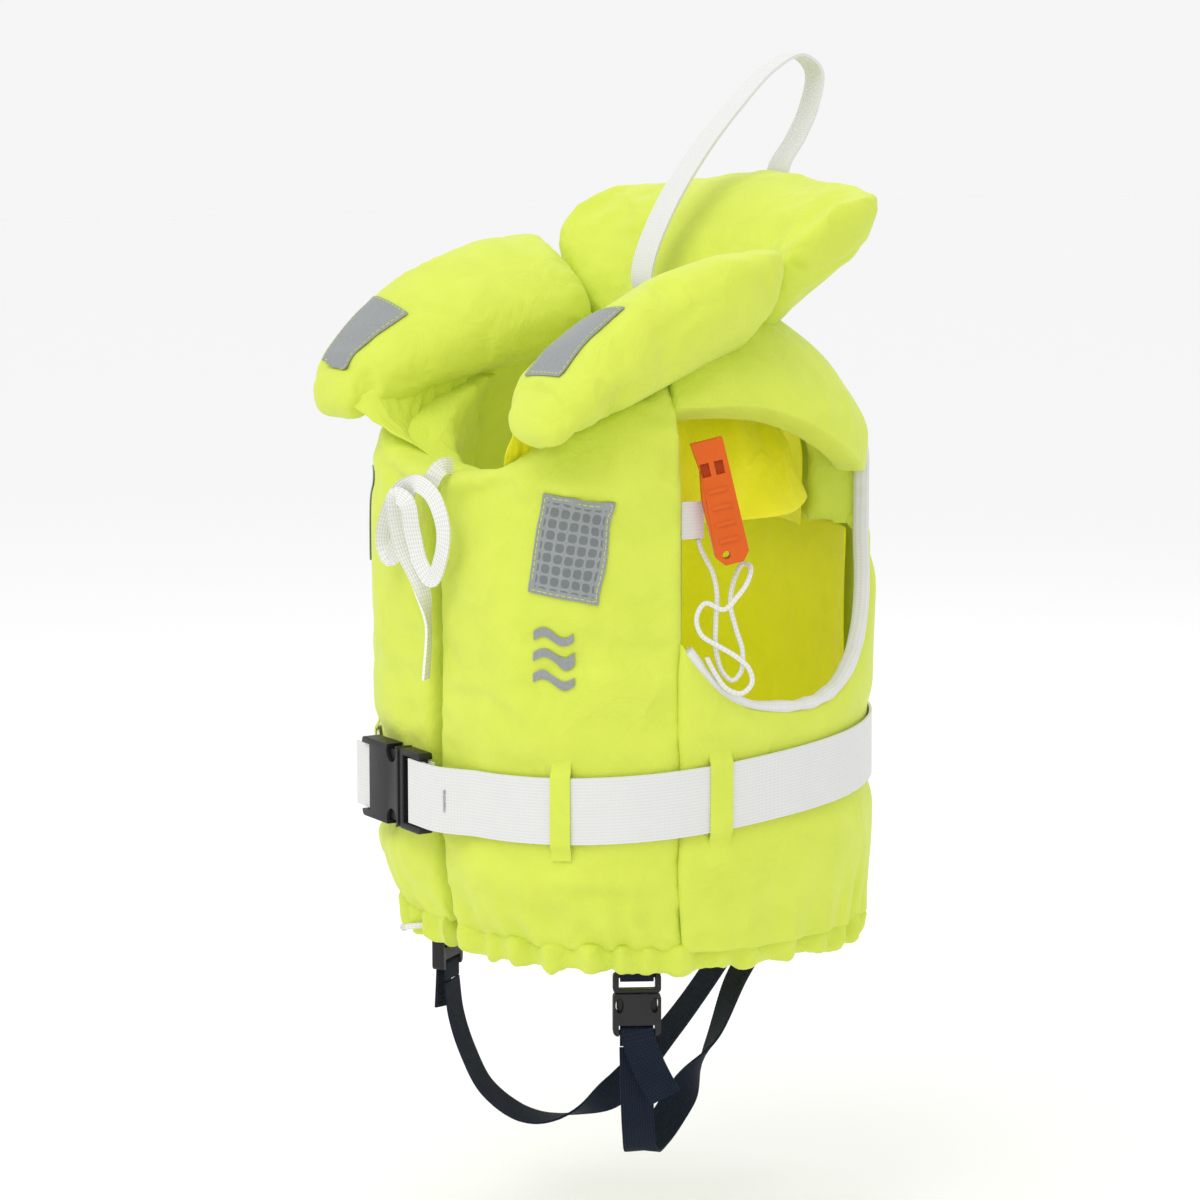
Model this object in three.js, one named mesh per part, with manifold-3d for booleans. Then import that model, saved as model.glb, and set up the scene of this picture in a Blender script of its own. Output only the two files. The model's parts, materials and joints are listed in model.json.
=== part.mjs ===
// Foam-filled buoyancy life jacket for a child, worn shape, millimetres, +Z up.
// The wearer faces -Y, +X is the wearer's left, and the hem lies on z = 0 around the torso's axis.
import * as THREE from 'three';
import Module from 'manifold-3d';
import { mergeVertices } from 'three/addons/utils/BufferGeometryUtils.js';

const wasm = await Module();
wasm.setup();

// ---------- driving dimensions ----------
const GAP = 0.3;                 // clearance between touching pieces
const CHEST_HALF_WIDTH = 151;    // outer torso half width, side to side
const CHEST_HALF_DEPTH = 140.5;  // outer torso half depth, front to back
const HEM_DRAW_IN = 9;           // how far the gathered hem is pulled in
const HEM_SHIFT = 5;             // the drawn hem sits this far back
const HEM_BLEND = 70;            // height over which it is pulled in
const PLAN_POWER = 2.4;          // squareness of the torso seen from above
const LEAN_START = 295;          // height where the panels start to curve in over the shoulders
const LEAN = 0.0078;             // inward curve per millimetre squared of height above that
const FRONT_FOAM = 42;           // thickness of a front panel
const BACK_FOAM = 34;            // thickness of the upper back panel
const LOWER_BACK = 10;           // thickness of the lower back panel
const SIDE_PANEL = 8;            // thickness of a side panel
const SHOULDER = 24;             // thickness of a shoulder join
const COVER_WALL = 1.5;          // fabric cover of a foam panel
const COLLAR_WALL = 2;           // fabric cover of a collar cushion
const FOAM_GAP = 1.6;            // room between a cover and its foam
const NECK_EDGE = 298;           // height of the front neck edge
const BACK_SEAM = 255;           // height of the seam across the back
const FRONT_EDGE = 70;           // degrees: front edge of the armhole
const BACK_EDGE = 146;           // degrees: back edge of the armhole
const PANEL_GAP = 0.5;           // degrees between neighbouring panels
const CENTRE_GAP = 1.5;          // degrees from the front centre line to a panel
const ARMHOLE_BOTTOM = 156;      // height of the side panel's lowest point under the arm
const ARMHOLE_TOP = 335;         // underside of the shoulder joins
const HEM_HEIGHT = 14;           // height of the drawn hem
const FOAM_BASE = 60;            // full panel thickness starts at this height
const HEM_DEPTH = 15;            // thickness of the drawn hem, outside to inside
const DRAWCORD = 4;              // drawcord diameter
const DRAWCORD_ROOM = 0.7;       // space around the drawcord in its channel
const DRAWCORD_OFFSET = -6;      // drawcord's middle, inwards of the torso's surface
const DRAWCORD_HEIGHT = 7;       // height of the drawcord's middle
const BACK_LEVELS = [300, 335, 365]; // heights that shape the upper back
const BACK_TOP = 400;            // top of the upper back, trimmed by the collar
const BELT_HEIGHT = 40;          // waist webbing width
const BELT_CENTRE = 112.7;       // height of the belt's middle at the sides
const BELT_RISE = 0.088;         // the belt climbs towards the back by this slope
const WEBBING = 1.6;             // webbing thickness
const BELT_LIFT = 0.8;           // belt's clearance from the panels
const BELT_LEFT_END = 13;        // degrees: where the belt ends left of the buckle
const BELT_RIGHT_END = 334;      // degrees: where it ends right of the buckle
const LOOP_WIDTH = 14;           // belt loop width
const LOOP_LIFT = 0.5;           // sewn ends of a belt loop above the panels
const LOOP_LEVELS = [-30, -23.5, -21.5, 21.5, 23.5, 30]; // a loop's bends, from the belt's middle
const LOOP_ANGLES = { front_left: 38, side_left: 79, front_right: 322, side_right: 281 };
const COLLAR_GAP = 0.4;          // panels' clearance under the collar
const LIFT_STRAP = 20;           // lifting loop width
const STRAP_WIDTH = 20;          // crotch webbing width
const CROTCH_ANGLE = 56;         // degrees: where the crotch buckles hang at the hem
const CROTCH_OFFSET = 1 - HEM_DEPTH - 8.7; // behind the hem casing
const CROTCH_MOUTH = -14;        // height of a crotch buckle's mouth
const LACE = 4;                  // neck lace diameter
const LANYARD = 3;               // whistle cord diameter
const WHISTLE_LENGTH = 74;
const WHISTLE_WIDTH = 20;
const WHISTLE_DEPTH = 9;
const WHISTLE_MIDDLE = new THREE.Vector3(146, -34, 285);
const WHISTLE_FACING = 60;       // degrees from the front that its face looks
const WHISTLE_LEAN = 0.24;       // its lower end leans backwards
const HOLDER_MIDDLE = 274;       // height of the whistle holder's middle
const HOLDER_HEIGHT = 22;
const PATCH_LIFT = 0.8;          // clearance of a chest patch from the panel
const PATCH_THICK = 0.9;
const BUCKLE_TILT = 0.08;        // slope of the belt buckle, turned with the chest
const BUCKLE_MOUTH = new THREE.Vector3(-24, -140.2, BELT_CENTRE - BELT_RISE * CHEST_HALF_DEPTH);
const BAR_MIDDLE = 0.5;          // share of a buckle's depth at the middle of a bar
const BAR_THICK = 3;
const TONGUE_START = 0.4;        // a tongue's clearance from the mouth of its socket

// ---------- materials ----------
function finish(color, roughness, metalness = 0) {
  return new THREE.MeshStandardMaterial({ color, roughness, metalness });
}
const FABRIC = finish(0xe2f068, 0.72);
const LINING = finish(0xcdd018, 0.8);
const FOAM = finish(0xf2f2ee, 0.9);
const WHITE_WEB = finish(0xecebe6, 0.8);
const NAVY_WEB = finish(0x141e38, 0.85);
const REFLECTIVE = finish(0x9fa3a3, 0.45, 0.1);
const EMBLEM = finish(0xb9bcbb, 0.6);
const BLACK_PLASTIC = finish(0x1b1b1c, 0.42);
const ORANGE_PLASTIC = finish(0xf06a24, 0.4);

// ---------- solids and booleans ----------
function solidFrom(geometry) {
  const bare = geometry.clone();
  bare.deleteAttribute('normal');
  bare.deleteAttribute('uv');
  const merged = mergeVertices(bare, 1e-4);
  const vertProperties = Float32Array.from(merged.attributes.position.array);
  const triVerts = Uint32Array.from(merged.index.array);
  return new wasm.Manifold(new wasm.Mesh({ numProp: 3, vertProperties, triVerts }));
}

function geometryFrom(solid) {
  const mesh = solid.getMesh();
  const geometry = new THREE.BufferGeometry();
  geometry.setAttribute('position', new THREE.BufferAttribute(mesh.vertProperties, 3));
  geometry.setIndex(new THREE.BufferAttribute(mesh.triVerts, 1));
  geometry.computeVertexNormals();
  return geometry;
}

// Turns triangles outward if they were listed inside out.
function closedGeometry(points, triangles) {
  let volume = 0;
  for (const [a, b, c] of triangles) {
    volume += points[a].dot(new THREE.Vector3().crossVectors(points[b], points[c]));
  }
  const faces = volume < 0 ? triangles.map(([a, b, c]) => [a, c, b]) : triangles;
  const geometry = new THREE.BufferGeometry().setFromPoints(points);
  geometry.setIndex(faces.flat());
  geometry.computeVertexNormals();
  return geometry;
}

// A slab between two grids of points, outer[i][j] and inner[i][j], closed around its rim.
function slab(outer, inner) {
  const columns = outer.length;
  const rows = outer[0].length;
  const points = [...outer.flat(), ...inner.flat()];
  const at = (layer, i, j) => layer * columns * rows + i * rows + j;
  const triangles = [];
  const quad = (a, b, c, d) => triangles.push([a, b, c], [a, c, d]);
  for (let i = 0; i + 1 < columns; i++) {
    for (let j = 0; j + 1 < rows; j++) {
      quad(at(0, i, j), at(0, i + 1, j), at(0, i + 1, j + 1), at(0, i, j + 1));
      quad(at(1, i, j), at(1, i, j + 1), at(1, i + 1, j + 1), at(1, i + 1, j));
    }
    const top = rows - 1;
    quad(at(0, i + 1, 0), at(0, i, 0), at(1, i, 0), at(1, i + 1, 0));
    quad(at(0, i, top), at(0, i + 1, top), at(1, i + 1, top), at(1, i, top));
  }
  for (let j = 0; j + 1 < rows; j++) {
    const end = columns - 1;
    quad(at(0, 0, j), at(0, 0, j + 1), at(1, 0, j + 1), at(1, 0, j));
    quad(at(0, end, j + 1), at(0, end, j), at(1, end, j), at(1, end, j + 1));
  }
  return closedGeometry(points, triangles);
}

// A closed loft through rings of points, with a fan on each end.
function loft(rings) {
  const count = rings[0].length;
  const points = rings.flat();
  const triangles = [];
  for (let i = 0; i + 1 < rings.length; i++) {
    for (let j = 0; j < count; j++) {
      const next = (j + 1) % count;
      const [a, b] = [i * count + j, i * count + next];
      triangles.push([a, b, b + count], [a, b + count, a + count]);
    }
  }
  for (const [index, flip] of [[0, true], [rings.length - 1, false]]) {
    const middle = new THREE.Vector3();
    rings[index].forEach((point) => middle.add(point));
    points.push(middle.divideScalar(count));
    for (let j = 0; j < count; j++) {
      const pair = [index * count + j, index * count + (j + 1) % count];
      triangles.push([points.length - 1, ...(flip ? pair.reverse() : pair)]);
    }
  }
  return closedGeometry(points, triangles);
}

// A cut can leave loose crumbs behind; the piece itself is the largest body.
function largestBody(solid) {
  const bodies = solid.decompose();
  return bodies.reduce((best, body) => (body.volume() > best.volume() ? body : best));
}

function box(xRange, yRange, zRange) {
  const size = [xRange, yRange, zRange].map(([low, high]) => high - low);
  const geometry = new THREE.BoxGeometry(...size);
  const middle = [xRange, yRange, zRange].map(([low, high]) => (low + high) / 2);
  return solidFrom(geometry.translate(...middle));
}

// A flat outline in the x-z plane, given its thickness along y.
function plate(outline, yFrom, yTo, steps = 4) {
  const depth = yTo - yFrom;
  const shape = { depth, bevelEnabled: false, curveSegments: steps };
  const geometry = new THREE.ExtrudeGeometry(outline, shape);
  return solidFrom(geometry.rotateX(Math.PI / 2).translate(0, yTo, 0));
}

function roundedOutline(x0, x1, z0, z1, radius) {
  const outline = new THREE.Shape();
  outline.moveTo(x0 + radius, z0);
  outline.lineTo(x1 - radius, z0);
  outline.absarc(x1 - radius, z0 + radius, radius, -Math.PI / 2, 0);
  outline.lineTo(x1, z1 - radius);
  outline.absarc(x1 - radius, z1 - radius, radius, 0, Math.PI / 2);
  outline.lineTo(x0 + radius, z1);
  outline.absarc(x0 + radius, z1 - radius, radius, Math.PI / 2, Math.PI);
  outline.lineTo(x0, z0 + radius);
  outline.absarc(x0 + radius, z0 + radius, radius, Math.PI, 1.5 * Math.PI);
  return outline;
}

// A round cord along a smooth curve through the points.
function cordGeometry(points, diameter, steps, sides = 8) {
  const curve = new THREE.CatmullRomCurve3(points.map((p) => new THREE.Vector3(...p)));
  const section = new THREE.Shape();
  for (let i = 0; i < sides; i++) {
    const angle = (i / sides) * 2 * Math.PI;
    const method = i === 0 ? 'moveTo' : 'lineTo';
    section[method](Math.cos(angle) * diameter / 2, Math.sin(angle) * diameter / 2);
  }
  section.closePath();
  return new THREE.ExtrudeGeometry(section, { steps, extrudePath: curve, bevelEnabled: false });
}

const root = new THREE.Group();

function add(name, geometry, material, parent = root) {
  const shape = geometry.isBufferGeometry ? geometry : geometryFrom(geometry);
  const mesh = new THREE.Mesh(shape, material);
  mesh.name = name;
  parent.add(mesh);
  return mesh;
}

const SIDES = [['left', 1], ['right', -1]];

// ---------- the torso's outer surface ----------
function signedPower(value, power) {
  return Math.sign(value) * Math.abs(value) ** power;
}

// A point at an angle from the front, positive to the wearer's left, offset outwards.
function torso(degrees, z, offset) {
  const angle = THREE.MathUtils.degToRad(degrees);
  const blend = THREE.MathUtils.smoothstep(z, 0, HEM_BLEND);
  const shrink = HEM_DRAW_IN * (1 - blend) + LEAN * Math.max(0, z - LEAN_START) ** 2;
  const x = (CHEST_HALF_WIDTH - shrink + offset) * signedPower(Math.sin(angle), 2 / PLAN_POWER);
  const y = -(CHEST_HALF_DEPTH - shrink + offset) * signedPower(Math.cos(angle), 2 / PLAN_POWER);
  return new THREE.Vector3(x, y + HEM_SHIFT * (1 - blend), z);
}

// Angles of a piece's columns: its two ends and every whole step between them.
function columnAngles(from, to, step = 9) {
  const angles = [from];
  for (let a = Math.ceil((from + 0.5) / step) * step; a < to - 0.5; a += step) {
    angles.push(a);
  }
  angles.push(to);
  return angles;
}

const beltCentre = (degrees) => BELT_CENTRE + BELT_RISE * torso(degrees, BELT_CENTRE, 0).y;
const beltLow = (degrees) => beltCentre(degrees) - BELT_HEIGHT / 2;
const beltHigh = (degrees) => beltCentre(degrees) + BELT_HEIGHT / 2;

// A piece of the torso wall. rows gives heights by angle; outer and inner give offsets.
function wall({ from, to, rows, outer, inner, side = 1, step = 9 }) {
  const angles = columnAngles(from, to, step);
  const grid = (offset) => angles.map((a) => rows.map((row, j) => {
    const z = row(a);
    return torso(side * a, z, offset(a, z, j));
  }));
  return solidFrom(slab(grid(outer), grid(inner)));
}

const level = (z) => () => z;

// ---------- collar ----------
// Stations of a wing, front tip to shoulder: y, inner x, outer x, inner top z, outer top z, height.
const WING = [
  { y: -148, xi: 96, xo: 126, zi: 340, zo: 341, t: 13 },
  { y: -144, xi: 86, xo: 136, zi: 349, zo: 350, t: 28 },
  { y: -135, xi: 78, xo: 143, zi: 358, zo: 361, t: 40 },
  { y: -114, xi: 70, xo: 148, zi: 372, zo: 383, t: 50 },
  { y: -88, xi: 63, xo: 151, zi: 384, zo: 406, t: 56 },
  { y: -55, xi: 59, xo: 151, zi: 393, zo: 427, t: 59 },
  { y: -18, xi: 57, xo: 149, zi: 398, zo: 440, t: 57 },
  { y: 8, xi: 58, xo: 144, zi: 400, zo: 444, t: 52 },
  { y: 21, xi: 61, xo: 138, zi: 400, zo: 443, t: 42 },
  { y: 25, xi: 68, xo: 129, zi: 399, zo: 437, t: 28 },
];
// Stations across the rear cushion: x, front y, back y, front top z, back top z, height.
const REAR = [
  { x: 0, yf: 28, yb: 118, zf: 410, zb: 496, t: 58 },
  { x: 30, yf: 28, yb: 117, zf: 408, zb: 494, t: 57 },
  { x: 60, yf: 28, yb: 115, zf: 401, zb: 489, t: 55 },
  { x: 90, yf: 29, yb: 112, zf: 420, zb: 483, t: 49 },
  { x: 115, yf: 32, yb: 107, zf: 436, zb: 474, t: 39 },
  { x: 127, yf: 37, yb: 99, zf: 444, zb: 468, t: 27 },
  { x: 133, yf: 47, yb: 86, zf: 449, zb: 462, t: 14 },
];
const RING_SIDES = 14;
const RING_POWER = 0.8;

function wingPoint(station, phi, grow) {
  const { y, xi, xo, zi, zo, t } = station;
  const half = (xo - xi) / 2;
  const x = (xi + xo) / 2 + (half + grow) * signedPower(Math.cos(phi), RING_POWER);
  const tilt = ((zo - zi) / (xo - xi)) * (x - (xi + xo) / 2);
  const z = (zi + zo) / 2 - t / 2 + tilt + (t / 2 + grow) * signedPower(Math.sin(phi), RING_POWER);
  return new THREE.Vector3(x, y, z);
}

function rearPoint(station, side, phi, grow) {
  const { x, yf, yb, zf, zb, t } = station;
  const half = (yb - yf) / 2;
  const y = (yf + yb) / 2 + (half + grow) * signedPower(Math.cos(phi), RING_POWER);
  const tilt = ((zb - zf) / (yb - yf)) * (y - (yf + yb) / 2);
  const z = (zf + zb) / 2 - t / 2 + tilt + (t / 2 + grow) * signedPower(Math.sin(phi), RING_POWER);
  return new THREE.Vector3(side * x, y, z);
}

const ringAngles = Array.from({ length: RING_SIDES }, (_, i) => ((i + 0.5) / RING_SIDES) * 2 * Math.PI);

// grow swells the ring; the two end stations also move outwards by it.
function wingSolid(side, grow) {
  const rings = WING.map((station, i) => {
    const push = i === 0 ? -grow : i === WING.length - 1 ? grow : 0;
    return ringAngles.map((phi) => {
      const point = wingPoint(station, phi, grow);
      return point.setY(point.y + push).setX(side * point.x);
    });
  });
  return solidFrom(loft(rings));
}

function rearSolid(grow) {
  const left = REAR.slice(1).reverse().map((station) => [station, 1]);
  const right = REAR.map((station) => [station, -1]);
  const stations = [...left, ...right];
  const rings = stations.map(([station, side], i) => {
    const push = i === 0 || i === stations.length - 1 ? grow : 0;
    return ringAngles.map((phi) => {
      const point = rearPoint(station, side, phi, grow);
      return point.setX(point.x + side * push);
    });
  });
  return solidFrom(loft(rings));
}

// The whole collar swollen by a clearance, to cut away from whatever sits under it.
function swollenCollar(grow) {
  return rearSolid(grow).add(wingSolid(1, grow)).add(wingSolid(-1, grow));
}
const collarClearance = swollenCollar(COLLAR_GAP);
const cavityClearance = swollenCollar(COLLAR_GAP + 3);
const foamClearance = swollenCollar(COLLAR_GAP + 5);

// A collar cushion: a fabric cover open along a slot in its underside, and the foam inside it.
function buildCollar() {
  for (const [name, side] of SIDES) {
    const slot = box([side * 104 - 7, side * 104 + 7], [-60, -20], [330, 385]);
    const cover = wingSolid(side, 0).subtract(wingSolid(side, -COLLAR_WALL).add(slot));
    add(`collar_cover_${name}`, cover, FABRIC);
    add(`collar_foam_${name}`, wingSolid(side, -COLLAR_WALL - FOAM_GAP), FOAM);
    add(`collar_patch_${name}`, collarPatch(side), REFLECTIVE);
  }
  const slot = box([-25, 25], [60, 74], [360, 415]);
  add('collar_cover_rear', rearSolid(0).subtract(rearSolid(-COLLAR_WALL).add(slot)), FABRIC);
  add('collar_foam_rear', rearSolid(-COLLAR_WALL - FOAM_GAP), FOAM);
}

function collarPatch(side) {
  const stations = WING.slice(2, 5);
  const angles = ringAngles.slice(2, 5);
  const grid = (grow) => stations.map((station) => angles.map((phi) => {
    const point = wingPoint(station, phi, grow);
    return point.setX(side * point.x);
  }));
  return slab(grid(1.3), grid(0.4));
}

// Lifting loop: a strap sewn to the rear cushion's front and back, in the plane x = 0.
const LIFT_ROUTE = [
  [27.1, 386], [15, 404], [17, 420], [33, 452], [57, 484], [84, 512], [112, 536], [134, 545],
  [149, 535], [145, 512], [134, 492], [122, 476], [118.9, 462],
];
function buildLiftingLoop() {
  const curve = new THREE.CatmullRomCurve3(LIFT_ROUTE.map(([y, z]) => new THREE.Vector3(0, y, z)));
  const places = curve.getSpacedPoints(36);
  const grid = (offset) => places.map((place, i) => {
    const tangent = curve.getTangentAt(i / 36);
    const normal = new THREE.Vector3(0, -tangent.z, tangent.y);
    const middle = place.clone().addScaledVector(normal, offset);
    return [-LIFT_STRAP / 2, LIFT_STRAP / 2].map((x) => middle.clone().setX(x));
  });
  add('lifting_loop', slab(grid(WEBBING * 0.75), grid(-WEBBING * 0.75)), WHITE_WEB);
}

// ---------- torso panels ----------
const PANEL_BASE = HEM_HEIGHT + GAP;
const panelTop = (a) => NECK_EDGE + 58 * THREE.MathUtils.smoothstep(a, 10, 60);
const leanRow = (a) => Math.min(LEAN_START, panelTop(a) - 15);
const curveRow = (a) => Math.min(LEAN_START + 33, panelTop(a) - 7);
const HEM_THICKNESS = 12;        // a front panel's thickness where it meets the hem
const frontInner = (a, z) => -THREE.MathUtils.lerp(
  HEM_THICKNESS, FRONT_FOAM, THREE.MathUtils.smoothstep(z, HEM_HEIGHT, FOAM_BASE));
// Each front panel holds two foam layers: name, lowest height, outer face and inner face.
const FOAM_LAYERS = [
  ['outer', PANEL_BASE + 2, -COVER_WALL - FOAM_GAP, 0.5 - FRONT_FOAM / 2],
  ['inner', 42, -FRONT_FOAM / 2 - GAP, -FRONT_FOAM + 2.5],
];

function buildFrontPanels() {
  const rows = [level(PANEL_BASE), level(FOAM_BASE), beltLow, beltHigh, leanRow, curveRow, panelTop];
  for (const [name, side] of SIDES) {
    const shell = wall({
      from: CENTRE_GAP, to: FRONT_EDGE, side, rows, outer: () => 0, inner: frontInner,
    }).subtract(collarClearance);
    const cavity = wall({
      from: CENTRE_GAP + 1, to: FRONT_EDGE - 1, side,
      rows: [level(PANEL_BASE - 5), ...rows.slice(1, -1), (a) => panelTop(a) - COVER_WALL],
      outer: () => -COVER_WALL,
      inner: (a, z) => frontInner(a, z) + COVER_WALL,
    }).subtract(cavityClearance);
    add(`front_cover_${name}`, largestBody(shell.subtract(largestBody(cavity))), FABRIC);
    for (const [layer, base, outside, inside] of FOAM_LAYERS) {
      const foam = wall({
        from: CENTRE_GAP + 2.5, to: FRONT_EDGE - 2.5, side,
        rows: [level(base), ...rows.slice(1, -1), (a) => panelTop(a) - 4],
        outer: () => outside,
        inner: (a, z) => Math.max(inside, frontInner(a, z) + COVER_WALL + FOAM_GAP),
      }).subtract(foamClearance);
      add(`front_foam_${name}_${layer}`, largestBody(foam), FOAM);
    }
  }
}

// The armhole's lower edge: its lowest angle, and how far it rises to the front and to the back.
const ARMHOLE_LOWEST = 98;
const ARMHOLE_RISE_FRONT = 44;
const ARMHOLE_RISE_BACK = 92;
const sideTop = (a) => ARMHOLE_BOTTOM + (a < ARMHOLE_LOWEST
  ? ARMHOLE_RISE_FRONT * ((ARMHOLE_LOWEST - a) / (ARMHOLE_LOWEST - FRONT_EDGE)) ** 2.5
  : ARMHOLE_RISE_BACK * ((a - ARMHOLE_LOWEST) / (BACK_EDGE - ARMHOLE_LOWEST)) ** 2);
const BINDING_START = 1.3;       // the binding's clearance from the panel's edge
const BINDING_WIDTH = 2.6;
const BINDING_PROUD = 0.8;       // how far it stands out of the panel

function buildSides() {
  const from = FRONT_EDGE + PANEL_GAP;
  const to = BACK_EDGE - PANEL_GAP;
  for (const [name, side] of SIDES) {
    add(`side_panel_${name}`, wall({
      from, to, side, rows: [level(PANEL_BASE), level(FOAM_BASE), beltLow, beltHigh, sideTop],
      outer: () => 0, inner: () => -SIDE_PANEL,
    }), LINING);
    const shoulder = wall({
      from, to, side, rows: [level(ARMHOLE_TOP), level(355), level(375)],
      outer: () => 0, inner: () => -SHOULDER,
    });
    add(`shoulder_${name}`, largestBody(shoulder.subtract(collarClearance)), FABRIC);
    const under = wall({
      from: from + 0.6, to: to - 0.1, side,
      rows: [(a) => sideTop(a) + BINDING_START, (a) => sideTop(a) + BINDING_START + BINDING_WIDTH],
      outer: () => BINDING_PROUD, inner: () => -SIDE_PANEL - 1,
    });
    const back = wall({
      from: to - 2, to: to - 0.1, side,
      rows: [level(sideTop(to) + BINDING_START), level(290), level(ARMHOLE_TOP - GAP)],
      outer: () => BINDING_PROUD, inner: () => -SIDE_PANEL - 1,
    });
    add(`armhole_binding_${name}`, under.add(back), WHITE_WEB);
    add(`shoulder_tab_${name}`, wall({
      from: 84, to: 90, side, rows: [level(346), level(361)], outer: () => 2, inner: () => 0.4,
    }), WHITE_WEB);
  }
}

function buildBack() {
  const from = BACK_EDGE;
  const to = 360 - BACK_EDGE;
  add('back_panel_lower', wall({
    from, to,
    rows: [level(PANEL_BASE), level(FOAM_BASE), beltLow, beltHigh, level(190), level(BACK_SEAM - GAP)],
    outer: () => 0, inner: () => -LOWER_BACK,
  }), LINING);
  const middle = BACK_LEVELS.map(level);
  const shell = wall({
    from, to, rows: [level(BACK_SEAM), ...middle, level(BACK_TOP)],
    outer: () => 0, inner: () => -BACK_FOAM,
  }).subtract(collarClearance);
  const cavity = wall({
    from: from + 1, to: to - 1,
    rows: [level(BACK_SEAM - 5), ...middle, level(BACK_TOP - COVER_WALL)],
    outer: () => -COVER_WALL, inner: () => -BACK_FOAM + COVER_WALL,
  }).subtract(cavityClearance);
  add('back_cover_upper', largestBody(shell.subtract(largestBody(cavity))), LINING);
  const foam = wall({
    from: from + 2.5, to: to - 2.5, rows: [level(BACK_SEAM + 4), ...middle, level(BACK_TOP - 8)],
    outer: () => -COVER_WALL - FOAM_GAP, inner: () => -BACK_FOAM + COVER_WALL + GAP,
  }).subtract(foamClearance);
  add('back_foam_upper', largestBody(foam), FOAM);
}

// ---------- hem with its drawcord ----------
function buildHem() {
  const from = CENTRE_GAP;
  const to = 360 - CENTRE_GAP;
  const channelHalf = DRAWCORD / 2 + DRAWCORD_ROOM;
  const casing = wall({
    from, to, rows: [level(0), level(HEM_HEIGHT)], outer: () => 1, inner: () => 1 - HEM_DEPTH,
  });
  const channel = wall({
    from: from - 1, to: to + 1,
    rows: [level(DRAWCORD_HEIGHT - channelHalf), level(DRAWCORD_HEIGHT + channelHalf)],
    outer: () => DRAWCORD_OFFSET + channelHalf, inner: () => DRAWCORD_OFFSET - channelHalf,
  });
  add('hem_casing', casing.subtract(channel), FABRIC);
  const ringAt = (a) => Array.from({ length: 8 }, (_, i) => {
    const turn = (i / 8) * 2 * Math.PI;
    const radius = DRAWCORD / 2;
    return torso(a, DRAWCORD_HEIGHT + radius * Math.sin(turn), DRAWCORD_OFFSET + radius * Math.cos(turn));
  });
  add('hem_drawcord', loft(columnAngles(from - 0.6, to + 0.6).map(ringAt)), WHITE_WEB);
}

// ---------- waist belt ----------
function buildBelt() {
  add('belt_webbing', wall({
    from: BELT_LEFT_END, to: BELT_RIGHT_END, rows: [beltLow, beltHigh],
    outer: () => BELT_LIFT + WEBBING, inner: () => BELT_LIFT,
  }), WHITE_WEB);
  const overBelt = BELT_LIFT + WEBBING + LOOP_LIFT;
  const raised = (j) => j === 2 || j === 3;  // the two bends that lie over the belt
  for (const [name, angle] of Object.entries(LOOP_ANGLES)) {
    const half = THREE.MathUtils.radToDeg(LOOP_WIDTH / 2 / CHEST_HALF_WIDTH);
    const offset = (extra) => (a, z, j) => (raised(j) ? overBelt : LOOP_LIFT) + extra;
    add(`belt_loop_${name}`, wall({
      from: angle - half, to: angle + half, step: 3,
      rows: LOOP_LEVELS.map((h) => () => beltCentre(angle) + h),
      outer: offset(1), inner: offset(0),
    }), FABRIC);
  }
}

// ---------- side-release buckles ----------
// In a buckle's own frame x runs from the socket to the tongue, z across the webbing and y inwards.
// half is half the width across; socket, tongue and arm are lengths from the mouth. A window is an
// oval hole over each arm: its half length, its half width and the place of its middle.
const BELT_BUCKLE = {
  web: BELT_HEIGHT, half: 25, socket: 48, tongue: 27, depth: 11, bar: 5, slot: 5,
  wall: 2.4, arm: 30, frame: 6, window: { long: 6.5, wide: 6.5, x: -8.5, z: 21 },
};
const CROTCH_BUCKLE = {
  web: STRAP_WIDTH, half: 14.5, socket: 26, tongue: 12.5, depth: 8, bar: 3, slot: 3.6,
  wall: 1.8, arm: 15, frame: 3.4, window: { long: 4.8, wide: 2.4, x: -7, z: 10.6 },
};
function buckleSocket(b) {
  const across = b.web / 2 + 1;
  const slotStart = -b.socket + b.bar;
  const channelEnd = slotStart + b.slot + 2.5;
  const barLow = -b.depth * BAR_MIDDLE - BAR_THICK / 2;
  const barHigh = barLow + BAR_THICK;
  let body = plate(roundedOutline(-b.socket, 0, -b.half, b.half, 3), -b.depth, 0);
  const inside = b.half - b.wall;
  body = body.subtract(box([channelEnd, 1], [-b.depth + b.wall, -b.wall], [-inside, inside]));
  body = body.subtract(box([slotStart, slotStart + b.slot], [-b.depth - 1, 1], [-across, across]));
  body = body.subtract(box([-b.socket - 1, slotStart + 1], [-b.depth - 1, barLow], [-across, across]));
  body = body.subtract(box([-b.socket - 1, slotStart + 1], [barHigh, 1], [-across, across]));
  for (const side of [-1, 1]) {
    const hole = new THREE.CylinderGeometry(1, 1, b.depth + 4, 20).scale(b.window.long, 1, b.window.wide);
    body = body.subtract(solidFrom(hole.translate(b.window.x, -b.depth / 2, side * b.window.z)));
  }
  return body;
}

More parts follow.
